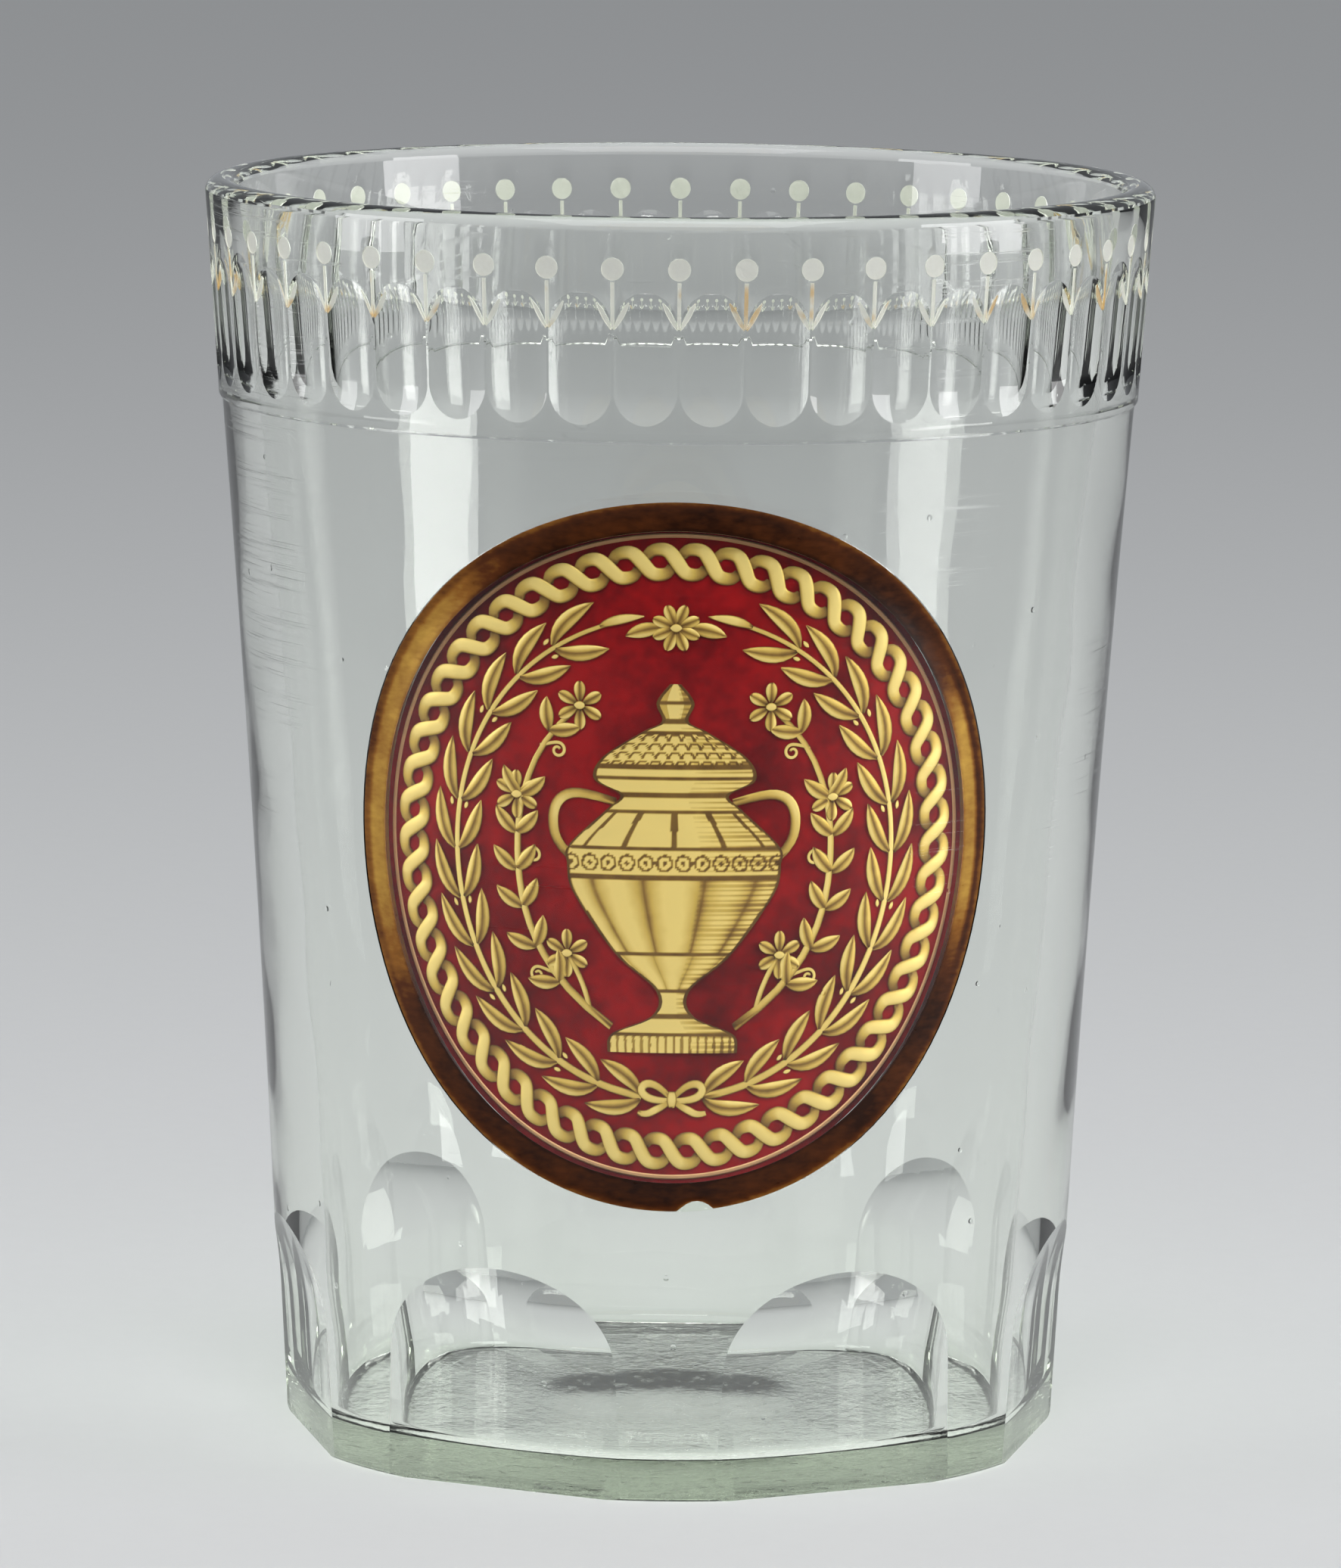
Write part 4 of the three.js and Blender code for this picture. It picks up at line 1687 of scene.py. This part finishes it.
        count = layers.laurel_leaves
        strokes = [Stroke([at(0.5 * k, 0) for k in range(2 * count + 2)], (0.75, 0.55, 0.4))]
        for k in range(count):
            for turn in (1, -1):
                leaf = [at(k + 0.02, 0.1 * turn), at(k + 0.3, 0.72 * turn)]
                leaf += [at(k + 0.72, 0.85 * turn), at(k + 1.14, 0.98 * turn)]
                strokes.append(Stroke(leaf, (0.35, 1.9, 1.85, 0.08), (0.02, 0.06), (0.45, 0.9), VEINED))
                if k % 2:
                    berry = [at(k + 0.86, 0.3 * turn), at(k + 0.93, 0.34 * turn), at(k + 1.02, 0.38 * turn)]
                    strokes.append(Stroke(berry, (0.1, 0.7, 0.1), (0.03, 0.03), (0.9, 0.9)))
        tip = [at(count + 0.1, 0), at(count + 0.4, 0.1), at(count + 0.7, 0.05), at(count + 1.05, 0)]
        strokes.append(Stroke(tip, (0.3, 1.2, 1.0, 0.1), (0.02, 0.05), (0.5, 0.9)))
        knot = beaker.oval_point(0, layers.laurel_middle)
        for lead, widths in ((self.bow_loop, (0.5, 0.8, 0.8, 0.5)), (self.bow_tail, (0.5, 0.8, 0.5))):
            points = [(knot[0] + x, knot[1] + y) for x, y in lead]
            strokes.append(Stroke(points, widths, (0.08, 0.08), (0.5, 0.8)))
        if side is Side.RIGHT:
            band = [(knot[0], knot[1] + rise) for rise in (-0.75, -0.3, 0.3, 0.75)]
            strokes.append(Stroke(band, (0.5, 1.1, 1.1, 0.5), (0.12, 0.12), (0.8, 0.8)))
        name = f"laurel_{side.name.lower()}"
        drawing = self.pen().drawn(name, [stroke.mirrored(side) for stroke in strokes])
        return self.gilded(f"gold_{name}", drawing)

    def urn_tone(self, along: float, up: float) -> float:
        """How bright the engraved urn is at a place of its map: gadroons, bands and hatching in the shade.

        Args:
            along: From 0 at its left outline to 1 at its right.
            up: From 0 at its foot to 1 at its top.

        Returns:
            The brightness from 0 to 1.
        """
        u = 2 * along - 1
        width, height = self.ground()
        half = along_curve(self.urn_profile, self.urn_row(up))[0] * self.layers.urn_width * width
        tall = 2 * height - self.layers.urn_foot_gap - self.layers.urn_lid_gap
        rise = up * tall
        if (1 - abs(u)) * half < 0.3:
            return 0.06
        if any(abs(up - line) < 0.006 for line in self.urn_lines):
            return 0.12
        tone = 1.0
        if up < 0.05:  # the fluted edge of the foot
            tone = 0.35 if (u * half / 0.75) % 1 < 0.35 else 1.0
        elif 0.17 < up < 0.27:  # the gadroons of the cup
            tone = blend(0.4, 1, abs(math.cos(4.5 * math.asin(0.98 * u))) ** 0.6)
        elif 0.27 < up < 0.475:  # the wider gadroons of the belly
            tone = blend(0.12, 1, abs(math.cos(5.5 * math.asin(0.98 * u))) ** 0.55)
        elif 0.475 < up < 0.555:  # the frieze of rings
            cell = (u * half / 1.7) % 1 - 0.5
            ring = math.hypot(cell * 1.7, rise - 0.515 * tall)
            tone = 0.12 if 0.55 < ring < 0.78 or ring < 0.2 else 1.0
        elif 0.555 < up < 0.655:  # the petals of the shoulder
            petal = abs(math.sin(6.5 * math.asin(0.98 * u)))
            tone = 0.15 if petal < 0.16 + 1.4 * (up - 0.555) else 1.0
        elif 0.775 < up < 0.87:  # the scales of the lid
            row = math.floor((up - 0.775) / 0.0238)
            cell = (u * half / 1.15 + row / 2) % 1 - 0.5
            scale = math.hypot(cell * 1.15, ((up - 0.775) / 0.0238 - row) * 0.72)
            tone = 0.15 if abs(scale - 0.52) < 0.09 else 0.95
        elif up > 0.9:  # the knop, dark at its sides
            tone = 0.55 if abs(u) > 0.45 else 1.0
        if u > 0.25 and (rise / 0.44) % 1 < 0.45:  # hatching on the side in the shade
            tone *= blend(0.8, 0.3, (u - 0.25) / 0.75)
        return tone

    def urn_row(self, up: float) -> float:
        """Where a height of the urn, as a share of its own, lies along its profile.

        Args:
            up: The height, from 0 to 1.

        Returns:
            The share of the way along the profile.
        """
        low, high = 0.0, 1.0
        for _ in range(24):
            middle = (low + high) / 2
            if along_curve(self.urn_profile, middle)[1] < up:
                low = middle
            else:
                high = middle
        return (low + high) / 2

    def urn(self) -> Piece:
        """The lidded urn in the middle, with its two handles.

        Returns:
            The piece.
        """
        layers = self.layers
        width, height = self.ground()
        wide = layers.urn_width * width
        foot = layers.urn_foot_gap - height
        tall = height - layers.urn_lid_gap - foot
        only()
        bpy.ops.mesh.primitive_grid_add(
            x_subdivisions=self.urn_columns, y_subdivisions=self.urn_rows, size=2, calc_uvs=True
        )
        body = toned(added("urn_body"), self.urn_tone)

        def place(flat: Vector) -> Vector:
            """Draws the square grid out to the urn's outline.

            Args:
                flat: A point of the grid.

            Returns:
                Its new place.
            """
            up = (flat.y + 1) / 2
            half = along_curve(self.urn_profile, self.urn_row(up))[0] * wide
            return Vector((flat.x * half, foot + up * tall, self.urn_lift - layers.leaf_back))

        moved(body, place)
        apply_modifier(body, "SOLIDIFY", thickness=self.urn_thickness, offset=-1)
        lead = [(x * wide, foot + up * tall) for x, up in self.urn_handle]
        handle = Stroke(lead, (0.7, 0.95, 0.95, 0.8), ends=(0.5, 0.5), tones=SHADED)
        drawing = self.pen().drawn("handles", [handle.mirrored(side) for side in Side])
        return self.gilded("gold_urn", joined([body, drawing], "urn"))

    def spray(self, side: Side) -> Piece:
        """The flowering spray on one side of the urn.

        Args:
            side: The side it stands on.

        Returns:
            The piece.
        """
        width, height = self.ground()
        stem, stalk, flowers = (
            [(x * width, y * height) for x, y in line]
            for line in (self.spray_stem, self.spray_stalk, self.spray_flowers)
        )
        length = self.leaf_length * width
        strokes = [
            Stroke(stem, (0.75, 0.7, 0.6, 0.45), tones=SHADED),
            Stroke(stalk, (0.5, 0.5), tones=SHADED),
        ]
        for share in self.spray_leaves:
            for lean in (0.75, -0.75):
                turn = heading(stem, share) + lean
                bow = math.copysign(0.08, lean)
                strokes.append(self.sprig_leaf(along_curve(stem, share), turn, length, bow))
        for start, turn, turns in self.spray_curls:
            foot = (start[0] * width, start[1] * height)
            centre = from_place(foot, turn, 1.5, 0.75 * math.copysign(1, turns))
            curl = [foot, from_place(foot, turn, 0.8)]
            curl += spiral(centre, from_place(foot, turn, 1.6), turns, 0.3, 9)
            strokes.append(Stroke(curl, (0.34, 0.3, 0.26), ends=(0.8, 0.8)))
        for centre in flowers:
            strokes.extend(self.flower(centre))
        name = f"spray_{side.name.lower()}"
        drawing = self.pen().drawn(name, [stroke.mirrored(side) for stroke in strokes])
        return self.gilded(f"gold_{name}", drawing)

    def top_flower(self) -> Piece:
        """The flower between the laurels' tips, with a leaf on each side.

        Returns:
            The piece.
        """
        _, rise = self.beaker.oval_point(math.pi, self.layers.laurel_middle + self.top_flower_drop)
        length = 1.06 * self.leaf_length * self.ground()[0]
        strokes = []
        for turn in (-0.25, math.pi + 0.25):
            place = (1.4 * math.cos(turn), rise)
            strokes.append(self.sprig_leaf(place, turn, length, math.copysign(0.06, math.cos(turn))))
        strokes.extend(self.flower((0.0, rise), 8))
        return self.gilded("gold_top_flower", self.pen().drawn("top_flower", strokes))

    def build(self) -> None:
        """Makes every piece of the medallion."""
        layers = self.layers
        self.plaque()
        self.cement()
        front = layers.leaf_back + layers.layer_gap
        self.sheet("lacquer_ground", "red_lacquer", front, layers.lacquer_back, Lacquer())
        front = layers.lacquer_back + layers.layer_gap
        self.sheet("leaf_behind", "backing_leaf", front, layers.backing_back, Gold("backing_gold"))
        self.edge_line()
        self.chain()
        for side in Side:
            self.laurel(side)
            self.spray(side)
        self.urn()
        self.top_flower()


@dataclass(frozen=True)
class SoftBox:
    """A soft lamp that faces the beaker.

    Args:
        name: The lamp's name.
        azimuth: Degrees to the right of the camera, seen from the beaker.
        rise: Degrees above the horizon.
        distance: Metres from the beaker's middle.
        size: Its width and height in metres.
        power: Its power in watts.
    """

    name: str
    azimuth: float
    rise: float
    distance: float
    size: Flat
    power: float

    def build(self, middle: Vector) -> None:
        """Hangs the lamp round the beaker's middle.

        Args:
            middle: The beaker's middle.
        """
        light = bpy.data.lights.new(self.name, "AREA")
        light.shape = "RECTANGLE"
        light.size, light.size_y = self.size
        light.energy = self.power
        lamp = bpy.data.objects.new(self.name, light)
        bpy.context.scene.collection.objects.link(lamp)
        turn, lift = math.radians(self.azimuth), math.radians(self.rise)
        away = Vector((math.sin(turn) * math.cos(lift), -math.cos(turn) * math.cos(lift), math.sin(lift)))
        lamp.location = middle + away * self.distance
        lamp.rotation_euler = away.to_track_quat("Z", "Y").to_euler()


@dataclass
class Studio:
    """The pale table, the soft lamps and the camera.

    The lens's shift and the camera's tilt and roll follow the photograph, as its place does.
    """

    paper: Colour = (0.50, 0.505, 0.51)
    paper_mirrored: Colour = (0.06, 0.061, 0.062)
    paper_size: float = 8
    glow: float = 0.13
    glow_colour: Colour = (0.97, 0.985, 1)
    air: float = 0.00005
    room_front: Colour = (0.07, 0.073, 0.076)
    room_back: Colour = (0.40, 0.42, 0.44)
    room_seen: Colour = (0.34, 0.35, 0.36)
    lamp_height: float = 0.06
    lamps: Sequence[SoftBox] = (
        SoftBox("left_box", -78, 12, 0.8, (0.3, 0.6), 2.6),
        SoftBox("right_box", 76, 12, 0.8, (0.36, 0.6), 4.2),
        SoftBox("top_box", 0, 80, 1.1, (0.8, 0.8), 3.6),
        SoftBox("front_box", 0, 48, 1.2, (0.5, 0.3), 6.5),
    )
    focal_length: float = 226.5
    sensor_width: float = 36
    shift: float = -0.0027
    eye: tuple[float, float, float] = (0, -0.8942, 0.1879)
    tilt: float = 0.1427
    roll: float = 0.0096

    def table(self) -> Piece:
        """A large flat sheet of pale paper under the beaker.

        Returns:
            The table.
        """
        only()
        bpy.ops.mesh.primitive_plane_add(size=self.paper_size, location=(0, 0, -self.air))
        table = settle(added("paper"))
        shader = Shader("pale_paper")
        fibre = shader.noise(shader.place(), 400, 3)
        pale = shader.mixed(fibre, self.paper, tuple(c * 0.97 for c in self.paper))
        front = shader.along("Y").rising(-0.1, -0.35)
        mirrored = shader.node("ShaderNodeLightPath", output="Is Glossy Ray") * front
        paper = shader.node(
            "ShaderNodeBsdfPrincipled",
            sockets={
                "Base Color": shader.mixed(mirrored, pale, self.paper_mirrored),
                "Roughness": 0.9,
                "Emission Color": shader.mixed(self.seen(shader), (0, 0, 0), self.glow_colour),
                "Emission Strength": self.glow,
            },
        )
        table.data.materials.append(shader.finish(paper))
        return table

    def seen(self, shader: Shader) -> Wire:
        """1 for what the camera looks at, straight or through glass, and 0 for the light on the beaker.

        Args:
            shader: The nodes of the material or world.

        Returns:
            The value.
        """
        camera, through = (
            shader.node("ShaderNodeLightPath", output=ray) for ray in ("Is Camera Ray", "Is Transmission Ray")
        )
        return camera.math("MAXIMUM", through)

    def lights(self) -> None:
        """Two tall soft boxes at the sides, one overhead and one in front, and an even grey room."""
        for lamp in self.lamps:
            lamp.build(Vector((0, 0, self.lamp_height)))
        world = bpy.data.worlds.new("room")
        bpy.context.scene.world = world
        shader = Shader("room", world)
        back = shader.along("Y", "Generated").rising(-0.5, 0.7)
        room = shader.mixed(back, self.room_front, self.room_back)
        colour = shader.mixed(self.seen(shader), room, self.room_seen)
        background = shader.node("ShaderNodeBackground", sockets={"Color": colour, "Strength": 1.0})
        shader.node("ShaderNodeOutputWorld", sockets={"Surface": background})

    def camera(self) -> None:
        """The camera, as far away and as high as the photograph's was."""
        lens = bpy.data.cameras.new("camera")
        lens.lens = self.focal_length
        lens.sensor_width = self.sensor_width
        lens.shift_x = self.shift
        camera = bpy.data.objects.new("camera", lens)
        bpy.context.scene.collection.objects.link(camera)
        camera.location = self.eye
        tilt = Matrix.Rotation(math.pi / 2 - self.tilt, 3, "X")
        camera.rotation_euler = (tilt @ Matrix.Rotation(self.roll, 3, "Z")).to_euler()
        bpy.context.scene.camera = camera

    def build(self) -> None:
        """Sets the scene up."""
        self.table()
        self.lights()
        self.camera()
        bpy.context.scene.view_settings.view_transform = "Standard"


def main() -> None:
    """Builds the beaker and its studio."""
    logging.basicConfig(level=logging.INFO, format="%(message)s")
    Studio().build()
    Vessel().build()
    Medallion().build()


if __name__ == "__main__":
    main()
